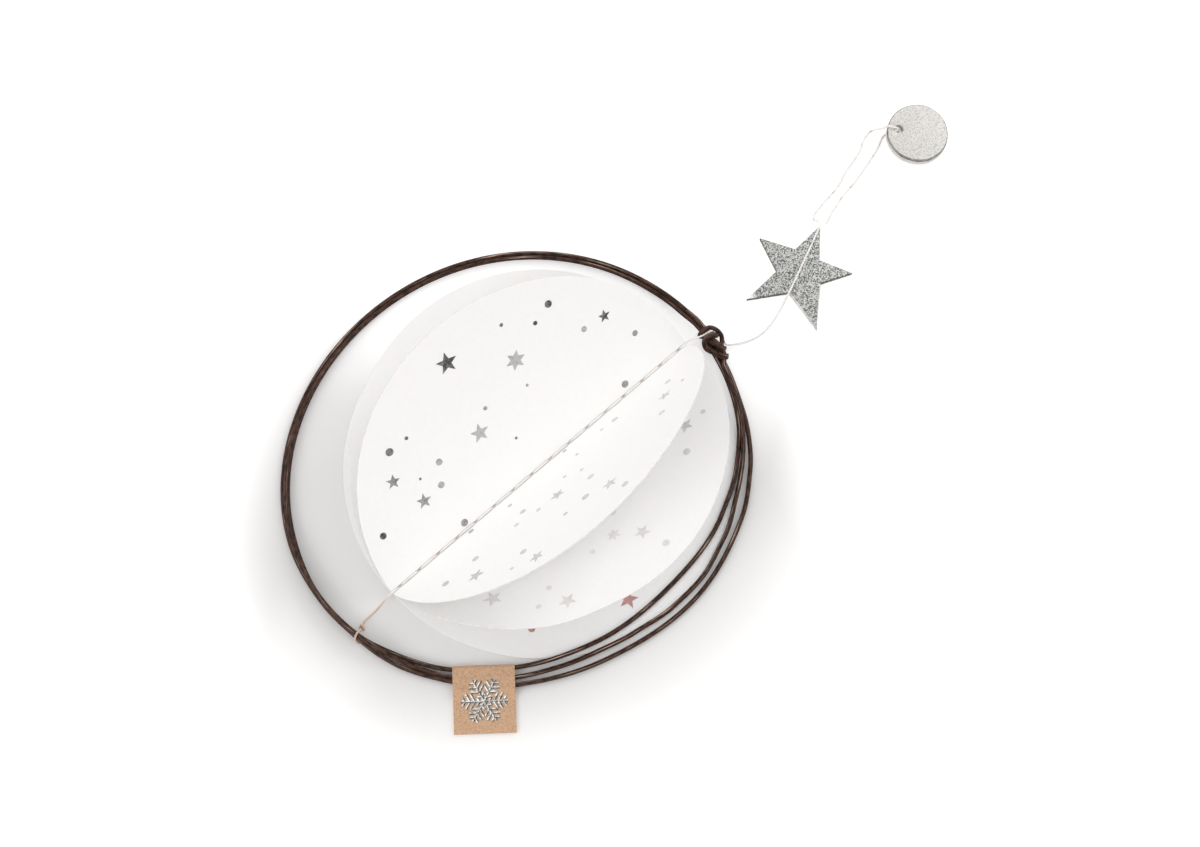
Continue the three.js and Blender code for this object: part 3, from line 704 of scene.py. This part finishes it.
def smooth_by_angle(piece, degrees):
    """Smooth shading across every edge that turns less than that."""
    deselect()
    piece.select_set(True)
    bpy.context.view_layer.objects.active = piece
    bpy.ops.object.shade_smooth_by_angle(angle=math.radians(degrees))


def joined(name, copies):
    """One piece from many."""
    deselect()
    for copy in copies:
        copy.select_set(True)
    bpy.context.view_layer.objects.active = copies[0]
    bpy.ops.object.join()
    piece = bpy.context.object
    piece.name = name
    return piece


def paper_leaf(leaf):
    """A half circle of paper from a grid, with its rows along the seam drawn in to the circle."""
    deselect()
    bpy.ops.mesh.primitive_grid_add(x_subdivisions=LEAF_COLUMNS, y_subdivisions=LEAF_ROWS, size=2)
    piece = bpy.context.object
    piece.name = "paper_" + leaf
    for vertex in piece.data.vertices:
        turn = vertex.co.y * math.pi / 2
        column = round((vertex.co.x + 1) / 2 * LEAF_COLUMNS)
        out = PAPER_RADIUS * math.cos(turn) * column / LEAF_COLUMNS
        if column == 1:
            out = min(out, FOOT_WIDTH)
        vertex.co = place(*leaf_point(leaf, PAPER_RADIUS * math.sin(turn), out, 0))
    edit_all()
    bpy.ops.mesh.remove_doubles(threshold=MERGE_DISTANCE * MM)
    face_outward()
    dress(piece, paper, paper_cut)
    thicken(piece, PAPER_THICKNESS, edge_material=1)
    smooth_by_angle(piece, SHEET_SMOOTH_BELOW)
    return piece


def flat_mark(points):
    """A thin flake of foil in millimetres, a star with that many points or a round dot, of radius 1."""
    deselect()
    bpy.ops.mesh.primitive_circle_add(vertices=2 * points or DOT_SIDES, radius=1, fill_type="TRIFAN")
    mark = bpy.context.object
    if points:
        for vertex in mark.data.vertices:
            corner_number = round(math.atan2(vertex.co.x, vertex.co.y) * points / math.pi)
            if corner_number % 2:
                vertex.co *= MARK_NOTCHES[points]
    edit_all()
    extrude_up(FOIL_THICKNESS)
    face_outward()
    return mark


def foil_print(leaf, marks):
    """All the marks of one leaf, copied from the flat ones and laid on the bowed paper."""
    copies = []
    dots = [(along, out, size, 0, 0, pale) for along, out, size, pale in DOTS[leaf]]
    for along, out, size, points, turn, pale in list(STARS.get(leaf, ())) + dots:
        copy = bpy.data.objects.new("mark", marks[points].data.copy())
        scene.collection.objects.link(copy)
        paleness = copy.data.attributes.new("foil_reflection", "FLOAT", "POINT")
        paleness.data.foreach_set("value", [pale] * len(copy.data.vertices))
        spin = Matrix.Rotation(math.radians(turn), 3, "Z")
        for vertex in copy.data.vertices:
            lift = PAPER_THICKNESS / 2 + FOIL_LIFT + vertex.co.z
            flat = spin @ Vector((vertex.co.x * size, vertex.co.y * size, 0))
            vertex.co = place(*leaf_point(leaf, along + flat.y, out + flat.x, lift))
        copies.append(copy)
    piece = joined("print_" + leaf, copies)
    if LEAVES[leaf][1] < 0:
        edit_all()
        bpy.ops.mesh.flip_normals()
        bpy.ops.object.mode_set(mode="OBJECT")
    return piece


paper = Finish("white_paper", PAPER_WHITE, PAPER_FIBRE, patch=700, grain=5200, edge=(0.35, 0.65),
               roughness=(0.82, 0.95), bump=(0.12, 0.03), plain={
                   "Specular IOR Level": PAPER_SHINE,
                   "Subsurface Weight": PAPER_SCATTER,
                   "Subsurface Radius": PAPER_SCATTER_COLOUR,
                   "Subsurface Scale": LIGHT_THROUGH_PAPER * MM,
               })
paper_cut = Finish("paper_cut_edge", PAPER_CUT_SHADE, PAPER_CUT, patch=700, grain=5200, edge=(0.35, 0.65),
                   roughness=(0.85, 0.95), bump=(0.12, 0.03))
flat_marks = {points: flat_mark(points) for points in (0, *MARK_NOTCHES)}
for leaf_name in LEAVES:
    body_name = "leaf_" + leaf_name
    node_name = "_leaf_".join(leaf_name.split("_"))
    leaf_piece = paper_leaf(leaf_name)
    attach(leaf_piece, body_name)
    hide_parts(node_name)
    if leaf_name not in DOTS:
        continue
    foil = Finish("foil_" + leaf_name, *FOIL_REFLECTION_COLOURS[leaf_name], patch=900, grain=4000, edge=(0.35, 0.65),
                  roughness=(0.3, 0.5), bump=(0.2, 0.03), plain={"Metallic": FOIL_METALLIC})
    # Painted reflection: each mark's foil is made paler by its own share.
    foil_reflection = shader_node(foil.tree, "Attribute", {}, attribute_name="foil_reflection").outputs["Fac"]
    pale_patches = {0: foil.grain.outputs["Patches"], 1: FOIL_UNEVEN, 2: foil_reflection}
    uneven = shader_node(foil.tree, "Math", pale_patches, operation="MULTIPLY_ADD", use_clamp=True)
    feed(foil.tree, foil.mix, {"Factor": uneven.outputs[0]})
    print_piece = foil_print(leaf_name, flat_marks)
    dress(print_piece, foil)
    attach(print_piece, body_name)
for mark_piece in flat_marks.values():
    bpy.data.objects.remove(mark_piece)

# The seam is sewn with two-ply cotton thread in even stitches through all three creases. At one end
# the thread is tied round the ring with a small bead of a knot, at the other it goes into the ring's
# own knot.
THREAD_SPACING = 0.14
PLY_RADIUS = 0.18
PLY_OFFSET = 0.125
PLY_PITCH = 1.5
PLY_SIDES = 6
SEAM_END = 49.7
STITCH_STEP = 0.35
STITCH_PITCH = 6.3
STITCH_RISE = 0.22
STITCH_DROP = 0.75
STITCH_DROP_FROM = 0.55
# The tie: degrees along the ring, out from its middle line and up, and then the way to the seam's end.
TIE_STOPS = ((1.1, -0.4, 0.35), (0.9, 0.95, 0.5), (0.4, 1.25, 1.9), (0.1, 1, 3.8), (0, 0, 4.7),
             (-0.1, -1, 4), (-0.2, -1.5, 2.6), (-0.9, -2, 1.7), (-1.3, -2.6, 1.9), (-0.6, -2.9, 2.3),
             (0.1, -2.4, 2.2), (-0.4, -2.1, 1.6), (-1.2, -3.4, 1.6))
TIE_TO_SEAM = ((0.9, -56, 1.7), (0.1, -51, 1.95))
# The other end: off the seam, and then out from the knot's middle, along the ring and up.
SEAM_TO_KNOT = (0, 50.8, 2.1)
KNOT_STOPS = ((-1.92, 3.54, 0.8), (-0.38, 2.95, 1.55), (0.86, 2.78, 1.85), (1.9, 2.7, 1.45),
              (2.35, 2.75, 0.6), (1.8, 2.9, -0.2))
SEAM_SHADE = (0.88, 0.8, 0.75, 1)
COTTON_PALE = (0.96, 0.935, 0.91, 1)
COTTON_SHEEN = 0.2
# The tie is tan up to a length in centimetres, and the thread gets some of that tan as painted shade in the
# holes, by its height.
TIE_TAN = (0.66, 0.52, 0.44, 1)
TIE_TAN_TO = 2.4
TIE_TAN_END = 3
HOLE_FROM = 1.42
HOLE_TO = 1.2
HOLE_PAINTED_SHADE = 0.32


def twisted_thread(name, route, finish):
    """Two plies of thread wound round each other along a route in metres."""
    strands = []
    frames = route_frames(route)
    for phase in (0, math.pi):
        ply = []
        along = 0
        for i, (point, (heading, across, up)) in enumerate(zip(route, frames)):
            if i:
                along += (point - route[i - 1]).length
            turn = phase + 2 * math.pi * along / (PLY_PITCH * MM)
            ply.append(point + PLY_OFFSET * MM * (across * math.cos(turn) + up * math.sin(turn)))
        strands.append((ply, [PLY_RADIUS * MM] * len(ply)))
    return tube(name, strands, PLY_SIDES, finish)


def cotton_finish(name, shade):
    """White cotton with darker places along the thread."""
    return Finish(name, shade, COTTON_PALE, patch=3, grain=30, edge=(0.3, 0.5), roughness=(0.85, 0.98),
                  bump=(0.4, 0.06), stretch=(2, 1, 1), lies_on="UV", plain={"Sheen Weight": COTTON_SHEEN})


def stitch_height(along):
    """The thread lies on the top crease and dips through the paper at each hole."""
    wave = math.cos(2 * math.pi * along / STITCH_PITCH)
    return CREASE_HEIGHTS[2] + STITCH_RISE - STITCH_DROP * smooth_share(-wave, STITCH_DROP_FROM, 1)


tie_stops = [beside_ring(TIE_ANGLE + along, out, up) for along, out, up in TIE_STOPS]
seam_route = smooth_route(tie_stops + list(TIE_TO_SEAM), THREAD_SPACING)
for step in range(round(2 * SEAM_END / STITCH_STEP) + 1):
    along_seam = STITCH_STEP * step - SEAM_END
    seam_route.append(Vector((0, along_seam, stitch_height(along_seam))))
seam_route += smooth_route([SEAM_TO_KNOT] + [knot_point(*stop) for stop in KNOT_STOPS], THREAD_SPACING)
seam_cotton = cotton_finish("seam_cotton", SEAM_SHADE)
seam_tree = seam_cotton.tree
seam_object = shader_node(seam_tree, "TexCoord", {}).outputs["Object"]
thread_length = shader_node(seam_tree, "SeparateXYZ", {0: seam_cotton.where}).outputs["X"]
thread_height = shader_node(seam_tree, "SeparateXYZ", {0: seam_object}).outputs["Z"]
near_tie = mask_between(seam_tree, thread_length, TIE_TAN_END, TIE_TAN_TO, easing="LINEAR")
# Painted shade: the thread is darker where it dips into the stitch holes.
hole_shade = mask_between(seam_tree, thread_height, HOLE_FROM * MM, HOLE_TO * MM, HOLE_PAINTED_SHADE, easing="LINEAR")
seam_cotton.tint(combined(seam_tree, "MAXIMUM", near_tie, hole_shade), TIE_TAN, blend="MULTIPLY")
seam = twisted_thread("seam_stitching", [place(*point) for point in seam_route], seam_cotton)
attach(seam, "ring")
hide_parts("seam_thread")

# The label is a strip of brown kraft card, folded over the turns of the ring and glued to itself.
# A silver foil snowflake is pressed on its face, across the line where the pocket ends.
LABEL_WIDTH = 15.5
LABEL_LENGTH = 17.1
CARD_THICKNESS = 0.33
LABEL_ANGLE = -48.4
LABEL_TURN = -39.9
FOLD_TO_RING = 3.1
LABEL_ASIDE = -0.84
POCKET_HEIGHT = 1.45
POCKET_LENGTH = 6.2
POCKET_SLOPE = 2.6
FOLD_RADIUS = (POCKET_HEIGHT + CARD_THICKNESS) / 2
STRIP_STEPS = 150
STRIP_COLUMNS = 10
GLUE_GAP = 0.02
SLOPE_STEP = 0.05
SNOWFLAKE_RADIUS = 5.85
SNOWFLAKE_ARMS = 6
SNOWFLAKE_FROM_FOLD = 9
SNOWFLAKE_LIFT = 0.03
SNOWFLAKE_THICKNESS = 0.03
SECOND_ARM_LIFT = 0.004
STROKE_WIDTH = 0.62
STROKE_RIDGE = 0.06
STROKE_STEPS = 14
KRAFT_BROWN = (0.5, 0.3, 0.172, 1)
KRAFT_PALE = (0.66, 0.43, 0.28, 1)
# Painted light and painted shade: the foil colours on the lit and on the shaded side of each pressed
# stroke.
SNOW_FOILS = {
    "lit": ((0.34, 0.34, 0.32, 1), (1, 1, 0.99, 1)),
    "shaded": ((0.03, 0.032, 0.03, 1), (0.22, 0.225, 0.21, 1)),
}
SNOW_METALLIC = 0.4
SNOW_LIT_FROM = Vector((-0.6, 0.8))
# One arm of the snowflake in shares of its radius: a stem, and pairs of branches from a place on the stem
# to one further out and to both sides.
BRANCHES = ((0.2, 0.3, 0.173), (0.4, 0.58, 0.312), (0.6, 0.78, 0.312), (0.82, 0.93, 0.19))
ARM_STROKES = [((0, 0), (1, 0))]
for branch_from, branch_to, aside in BRANCHES:
    ARM_STROKES += [((branch_from, 0), (branch_to, aside)), ((branch_from, 0), (branch_to, -aside))]


def label_place(out, across, height):
    """A point on the label in metres: out from its fold, across it and above the table."""
    turn = math.radians(LABEL_TURN)
    ring_x, ring_y = beside_ring(LABEL_ANGLE, 0, 0)[:2]
    ahead = out - FOLD_TO_RING
    aside = across + LABEL_ASIDE
    x = ring_x + ahead * math.cos(turn) - aside * math.sin(turn)
    y = ring_y + ahead * math.sin(turn) + aside * math.cos(turn)
    return place(x, y, height)


def label_top(out):
    """Height of the middle of the upper layer of card."""
    low = CARD_THICKNESS * 1.5 + GLUE_GAP
    high = CARD_THICKNESS / 2 + 2 * FOLD_RADIUS
    return high + (low - high) * smooth_share(out, POCKET_LENGTH, POCKET_LENGTH + POCKET_SLOPE)


def label_face(out):
    """Height of the upper face of the card, which is thicker straight up where it slopes."""
    slope = (label_top(out + SLOPE_STEP) - label_top(out - SLOPE_STEP)) / (2 * SLOPE_STEP)
    return label_top(out) + CARD_THICKNESS / 2 * math.sqrt(1 + slope * slope)


def strip_profile(share):
    """The folded strip from its lower end round the fold to its upper end."""
    straight = LABEL_LENGTH - FOLD_RADIUS
    bend = math.pi * FOLD_RADIUS
    at = share * (2 * straight + bend)
    if at < straight:
        return LABEL_LENGTH - at, CARD_THICKNESS / 2
    if at < straight + bend:
        turn = (at - straight) / FOLD_RADIUS
        out = FOLD_RADIUS * (1 - math.sin(turn))
        return out, CARD_THICKNESS / 2 + FOLD_RADIUS * (1 - math.cos(turn))
    out = FOLD_RADIUS + at - straight - bend
    return out, label_top(out)


deselect()
bpy.ops.mesh.primitive_grid_add(x_subdivisions=STRIP_STEPS, y_subdivisions=STRIP_COLUMNS, size=2)
label = bpy.context.object
label.name = "kraft_strip"
for corner in label.data.vertices:
    strip_out, strip_height = strip_profile((corner.co.x + 1) / 2)
    corner.co = label_place(strip_out, corner.co.y * LABEL_WIDTH / 2, strip_height)
thicken(label, CARD_THICKNESS)
smooth_by_angle(label, SHEET_SMOOTH_BELOW)
kraft = Finish("kraft_card", KRAFT_BROWN, KRAFT_PALE, patch=2600, grain=5200, edge=(0.3, 0.62),
               roughness=(0.85, 0.98), bump=(0.35, 0.05))
dress(label, kraft)
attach(label, "label")
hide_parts("kraft_label")

snow_foils = [
    Finish("snowflake_" + foil_name, *foil_colours, patch=1500, grain=2500, edge=(0.36, 0.6),
           roughness=(0.2, 0.4), bump=(0.3, 0.05), plain={"Metallic": SNOW_METALLIC})
    for foil_name, foil_colours in SNOW_FOILS.items()
]
deselect()
strokes = []
for arm in range(SNOWFLAKE_ARMS):
    spin = Matrix.Rotation(math.radians(360 * arm / SNOWFLAKE_ARMS), 2)
    for stroke_start, stroke_end in ARM_STROKES:
        start = spin @ Vector(stroke_start) * SNOWFLAKE_RADIUS
        end = spin @ Vector(stroke_end) * SNOWFLAKE_RADIUS
        side = Vector((start.y - end.y, end.x - start.x)).normalized() * STROKE_WIDTH / 2
        bpy.ops.mesh.primitive_grid_add(x_subdivisions=STROKE_STEPS, y_subdivisions=2, size=2)
        stroke = bpy.context.object
        dress(stroke, *snow_foils)
        # Painted light: the half of each stroke towards SNOW_LIT_FROM takes the lit foil, the other half
        # the shaded foil.
        for face in stroke.data.polygons:
            lit = (side * face.center.y).dot(SNOW_LIT_FROM) > 0
            face.material_index = 0 if lit else 1
        for corner in stroke.data.vertices:
            flat = start.lerp(end, (corner.co.x + 1) / 2) + side * corner.co.y
            stroke_out = SNOWFLAKE_FROM_FOLD - flat.y
            ridge = STROKE_RIDGE * (1 - abs(corner.co.y))
            height = label_face(stroke_out) + SNOWFLAKE_LIFT + ridge + SECOND_ARM_LIFT * (arm % 2)
            corner.co = label_place(stroke_out, flat.x, height)
        strokes.append(stroke)
snowflake = joined("foil_snowflake", strokes)
thicken(snowflake, SNOWFLAKE_THICKNESS)
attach(snowflake, "label")

# The free thread leaves the ring's knot, lies on the table, crosses the face of the star, dips
# through its hole and ends in the knot at its tip. The star is cut by hand from silver-faced leather
# with a pale core; the upper part of its walls is dark with painted shade.
STAR_THICKNESS = 1.4
STAR_TIPS = ((-0.93, 98.21), (-8.9, 84), (1.42, 69.75), (19.3, 77.76), (14.45, 95.15))
STAR_NOTCHES = ((-0.34, 88.78), (0.87, 80.91), (7.49, 79.49), (10.85, 86.96), (6.1, 91.3))
STAR_HOLE = (1.55, 92.73)
STAR_HOLE_RADIUS = 0.55
STAR_HOLE_SIDES = 20
PUNCH_LENGTH = 4
STAR_EDGE = 0.14
STAR_EDGE_STEPS = 2
STAR_EDGE_FROM = 50
STAR_SMOOTH_BELOW = 35
STAR_FACE_FROM = 0.8
THREAD_SEAT = 0.3
THREAD_ON_STAR = STAR_THICKNESS + THREAD_SEAT
THREAD_LOW = 0.36
TAIL_SHADE = (0.86, 0.79, 0.74, 1)
STAR_CORE_HEIGHT = 0.45
STAR_GREY = (0.06, 0.062, 0.06, 1)
STAR_SILVER = (0.66, 0.67, 0.64, 1)
STAR_METALLIC = 0.45
CRINKLE_STRETCH = (1, 0.6, 1)
# The corners of the arm whose edge was cut at a slant, so that the pale core shows, and how far it shows.
SLANT_CORNERS = (STAR_NOTCHES[2], STAR_TIPS[3], STAR_NOTCHES[3])
SLANT_SHIFTS = ((-0.04, -0.3), (0.4, -0.21), (0.22, 0.2))
SLANT_BELOW = 1.26
SLANT_REACH = 1.2
STAR_EDGE_SHADE_DARK = (0.03, 0.028, 0.026, 1)
STAR_EDGE_SHADE_PALE = (0.24, 0.245, 0.235, 1)
STAR_CORE_SHADE = (0.7, 0.67, 0.64, 1)
STAR_CORE = (0.9, 0.88, 0.86, 1)
STAR_WORN_TIP = (*STAR_TIPS[2], STAR_THICKNESS)
STAR_WORN_FROM = 3
STAR_WORN_TO = 1.5
TAIL_STOPS = (
    (6.1, 57.6, 1.5), (7.1, 57.5, 1.2), (8.4, 59.3, 0.7), (9.9, 62.4, THREAD_LOW), (10.8, 65.9, THREAD_LOW),
    (10.6, 69.7, THREAD_LOW), (9.6, 73.4, THREAD_LOW), (8.7, 76, 0.6), (8.1, 77.6, 1.5),
    (7.4, 79.4, THREAD_ON_STAR + 0.1), (6.4, 81.8, THREAD_ON_STAR), (3.3, 88.8, THREAD_ON_STAR),
    (2.2, 91.4, THREAD_ON_STAR), (*STAR_HOLE, THREAD_ON_STAR - 0.45), (0.9, 94.2, THREAD_ON_STAR),
    (-0.3, 96.9, THREAD_ON_STAR), (-1, 98.4, THREAD_ON_STAR - 0.1),
)


def punch(radius, sides, thickness, spot):
    """A round cutter, some times as long as the piece is thick, that stands at a place in metres."""
    deselect()
    bpy.ops.mesh.primitive_cylinder_add(
        vertices=sides, radius=radius * MM, depth=PUNCH_LENGTH * thickness * MM, location=spot)
    return bpy.context.object


def cut_out(piece, cutters):
    """Cuts the shapes of other objects out of a piece, and removes those objects."""
    for cutter in cutters:
        cut = piece.modifiers.new("cut", "BOOLEAN")
        cut.object = cutter
        cut.solver = "EXACT"
    finish_modifiers(piece)
    for cutter in cutters:
        bpy.data.objects.remove(cutter)


deselect()
bpy.ops.mesh.primitive_circle_add(vertices=2 * len(STAR_TIPS), fill_type="NGON")
star = bpy.context.object
star.name = "silver_star"
for number, corner in enumerate(star.data.vertices):
    corner.co = place(*(STAR_TIPS, STAR_NOTCHES)[number % 2][number // 2], 0)
edit_all()
for layer in (STAR_CORE_HEIGHT, STAR_THICKNESS - STAR_CORE_HEIGHT):
    extrude_up(layer * MM)
face_outward()
for corner in star.data.vertices:
    for spot, shift in zip(SLANT_CORNERS, SLANT_SHIFTS):
        over_spot = (corner.co.xy - place(*spot, 0).xy).length < MERGE_DISTANCE * MM
        if over_spot and corner.co.z < SLANT_BELOW * MM:
            corner.co.xy += Vector(shift) * MM
star_hole = place(*STAR_HOLE, STAR_THICKNESS / 2)
cut_out(star, [punch(STAR_HOLE_RADIUS, STAR_HOLE_SIDES, STAR_THICKNESS, star_hole)])
edge = star.modifiers.new("soft_edge", "BEVEL")
edge.width = STAR_EDGE * MM
edge.segments = STAR_EDGE_STEPS
edge.limit_method = "ANGLE"
edge.angle_limit = math.radians(STAR_EDGE_FROM)
finish_modifiers(star)
smooth_by_angle(star, STAR_SMOOTH_BELOW)
silver = Finish("silver_leather", STAR_GREY, STAR_SILVER, patch=4000, grain=5600, edge=(0.36, 0.62),
                roughness=(0.3, 0.55), bump=(0.8, 0.12), stretch=CRINKLE_STRETCH,
                plain={"Metallic": STAR_METALLIC})
from_tip = distance_from(silver.tree, silver.where, STAR_WORN_TIP)
silver.tint(mask_between(silver.tree, from_tip, STAR_WORN_FROM * MM, STAR_WORN_TO * MM), STAR_CORE)
core = Finish("leather_core", STAR_CORE_SHADE, STAR_CORE, patch=900, grain=5000, edge=(0.4, 0.6),
              roughness=(0.85, 0.97), bump=(0.4, 0.05))
# Painted shade: a dark colour on the star's walls above the pale core, except on the slanted edge.
star_edge_shade = Finish("star_painted_edge_shade", STAR_EDGE_SHADE_DARK, STAR_EDGE_SHADE_PALE, patch=1500, grain=5000,
                   edge=(0.42, 0.7), roughness=(0.5, 0.7), bump=(0.4, 0.06))
dress(star, silver, core, star_edge_shade)
slant_edges = [place((one[0] + two[0]) / 2, (one[1] + two[1]) / 2, 0).xy
               for one, two in zip(SLANT_CORNERS, SLANT_CORNERS[1:])]
for face in star.data.polygons:
    slanted = any((face.center.xy - middle).length < SLANT_REACH * MM for middle in slant_edges)
    if face.normal.z > STAR_FACE_FROM:
        face.material_index = 0
    else:
        face.material_index = 1 if slanted or face.center.z < STAR_CORE_HEIGHT * MM else 2
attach(star, "star")
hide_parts("leather_star")

tail_route = [place(*point) for point in smooth_route(TAIL_STOPS, THREAD_SPACING)]
tail = twisted_thread("free_thread", tail_route, cotton_finish("tail_cotton", TAIL_SHADE))
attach(tail, "star")
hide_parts("tail_thread")

# The bauble hangs by a loop of the same thread, which is knotted at the star's tip and goes through
# the hole of a small tag. The tag is a disc of cast metal with a groove under its rim, a bare face and
# a casting pit in its wall, and leans on the thread under it.
TAG_RADIUS = 8
TAG_THICKNESS = 3
TAG_SIDES = 96
TAG_MIDDLE = (-2.6, 134.4)
TAG_HOLE_OFFSET = 5
TAG_HOLE_RADIUS = 1.15
TAG_HOLE_SIDES = 32
TAG_HOLE_EDGE = 0.22
TAG_HOLE_EDGE_STEPS = 3
TAG_HOLE_MARGIN = 0.02
TAG_HOLE_ANGLE = 218
TAG_TILT = 3.9
TAG_SMOOTH_BELOW = 35
# The disc from its foot up to its face, as radius and height.
TAG_PROFILE = ((7.7, 0), (7.93, 0.15), (8, 0.4), (8, 1.95), (7.6, 2.28), (7.95, 2.58), (7.97, 2.8),
               (7.78, 2.95), (7.5, 3))
# Painted shade: the heights of the bands, in the groove under the rim and on the rim's upper edge, that are
# painted dark.
TAG_SHADED_BANDS = ((1.96, 2.57), (2.81, 2.94))
TAG_WALL_FROM = 7
TAG_PIT_ANGLE = 72
TAG_PIT_HEIGHT = 1.4
TAG_PIT_RADIUS = 0.4
TAG_PIT_SIDES = 16
TAG_PIT_RINGS = 8
# The rim isn't quite round: each wave's share of the radius, its count round the rim and where it starts.
RIM_WAVES = ((0.006, 3, 0.6), (0.004, 7, 0))
RIM_FROM = 6.5
LOOP_SHADE = (0.6, 0.45, 0.36, 1)
METAL_DARK = (0.44, 0.43, 0.415, 1)
METAL_PALE = (0.72, 0.705, 0.68, 1)
TAG_METALLIC = 0.5
# The painted shade in the groove and on the rim's upper edge, dark and pale.
GROOVE_SHADE_DARK = (0.09, 0.085, 0.08, 1)
GROOVE_SHADE_PALE = (0.34, 0.33, 0.31, 1)

away_x, away_y = polar(TAG_HOLE_ANGLE, TAG_RADIUS)
tag_frame = Matrix.Translation((TAG_MIDDLE[0] - away_x, TAG_MIDDLE[1] - away_y, 0))
tag_frame = tag_frame @ Matrix.Rotation(math.radians(TAG_HOLE_ANGLE), 4, "Z")
tag_frame = tag_frame @ Matrix.Rotation(math.radians(-TAG_TILT), 4, "Y")
tag_frame = tag_frame @ Matrix.Translation((TAG_RADIUS, 0, 0))


def tag_point(out, height):
    """A point in millimetres on the line from the tag's middle through its hole."""
    return tag_frame @ Vector((out, 0, height))


deselect()
bpy.ops.mesh.primitive_circle_add(vertices=TAG_SIDES, radius=TAG_PROFILE[0][0] * MM, fill_type="NGON")
tag = bpy.context.object
tag.name = "cast_tag"
edit_all()
for (radius, height), (next_radius, next_height) in zip(TAG_PROFILE, TAG_PROFILE[1:]):
    rise = (next_height - height) * MM
    grow = next_radius / radius
    extrude_up(rise)
    bpy.ops.transform.resize(value=(grow, grow, 1), center_override=(0, 0, next_height * MM))
face_outward()
tag_punch = punch(TAG_HOLE_RADIUS, TAG_HOLE_SIDES, TAG_THICKNESS, (TAG_HOLE_OFFSET * MM, 0, 0))
deselect()
pit_middle = Vector((*polar(TAG_PIT_ANGLE, TAG_RADIUS), TAG_PIT_HEIGHT))
bpy.ops.mesh.primitive_uv_sphere_add(segments=TAG_PIT_SIDES, ring_count=TAG_PIT_RINGS,
                                     radius=TAG_PIT_RADIUS * MM, location=MM * pit_middle)
cut_out(tag, [tag_punch, bpy.context.object])
hole_middle = Vector((TAG_HOLE_OFFSET * MM, 0))
hole_weights = tag.data.attributes.new("bevel_weight_edge", "FLOAT", "EDGE")
for tag_edge in tag.data.edges:
    ends = [tag.data.vertices[i].co for i in tag_edge.vertices]
    off_hole = [abs((end.xy - hole_middle).length - TAG_HOLE_RADIUS * MM) for end in ends]
    level = abs(ends[0].z - ends[1].z) < TAG_HOLE_MARGIN * MM
    hole_weights.data[tag_edge.index].value = 1 if max(off_hole) < TAG_HOLE_MARGIN * MM and level else 0
hole_edge = tag.modifiers.new("rounded_hole", "BEVEL")
hole_edge.width = TAG_HOLE_EDGE * MM
hole_edge.segments = TAG_HOLE_EDGE_STEPS
hole_edge.limit_method = "WEIGHT"
finish_modifiers(tag)
# Painted shade: faces in those bands out at the wall take the dark finish.
for face in tag.data.polygons:
    in_shaded_band = any(low < face.center.z / MM < high for low, high in TAG_SHADED_BANDS)
    face.material_index = 1 if in_shaded_band and face.center.xy.length > TAG_WALL_FROM * MM else 0
for corner in tag.data.vertices:
    round_turn = math.atan2(corner.co.y, corner.co.x)
    sway = sum(size * math.sin(count * round_turn + start) for size, count, start in RIM_WAVES)
    corner.co.xy *= 1 + sway * smooth_share(corner.co.xy.length / MM, RIM_FROM, TAG_RADIUS)
    corner.co = place(*(tag_frame @ (corner.co / MM)))
smooth_by_angle(tag, TAG_SMOOTH_BELOW)
cast = Finish("cast_metal", METAL_DARK, METAL_PALE, patch=2700, grain=6800, edge=(0.26, 0.62),
              roughness=(0.5, 0.7), bump=(0.4, 0.06), plain={"Metallic": TAG_METALLIC})
groove_shade = Finish("painted_groove_shade", GROOVE_SHADE_DARK, GROOVE_SHADE_PALE, patch=500, grain=5600, edge=(0.35, 0.65),
                 roughness=(0.6, 0.8), bump=(0.3, 0.05), plain={"Metallic": TAG_METALLIC})
dress(tag, cast, groove_shade)
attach(tag, "tag")
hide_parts("metal_tag")

LOOP_STOPS = [
    (-1.9, 98.7, 1.6), (-3.1, 98.1, 1), (-4.3, 99.4, THREAD_LOW), (-5.1, 102.8, THREAD_LOW),
    (-6, 109, THREAD_LOW), (-7.6, 113.7, THREAD_LOW), (-9.5, 120.6, THREAD_LOW), (-11.2, 123.7, THREAD_LOW),
    (-11.7, 126.6, 0.7), tag_point(TAG_RADIUS + 1.1, TAG_THICKNESS / 2),
    tag_point(TAG_RADIUS, TAG_THICKNESS + 0.5), tag_point(6.2, TAG_THICKNESS + 0.45),
    tag_point(5.2, TAG_THICKNESS), tag_point(5, TAG_THICKNESS * 0.3), tag_point(5.6, 0.05),
    (-8.6, 128.6, THREAD_LOW), (-6.9, 124.3, THREAD_LOW), (-5.3, 118.8, THREAD_LOW),
    (-3.9, 113.1, THREAD_LOW), (-3.4, 109.2, THREAD_LOW), (-1.6, 103, THREAD_LOW), (-0.4, 100.2, 0.9),
    (-0.2, 99.4, 1.5),
]
loop_route = [place(*point) for point in smooth_route(LOOP_STOPS, THREAD_SPACING)]
loop = twisted_thread("hanging_thread", loop_route, cotton_finish("loop_cotton", LOOP_SHADE))
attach(loop, "loop")
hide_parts("hanging_loop")
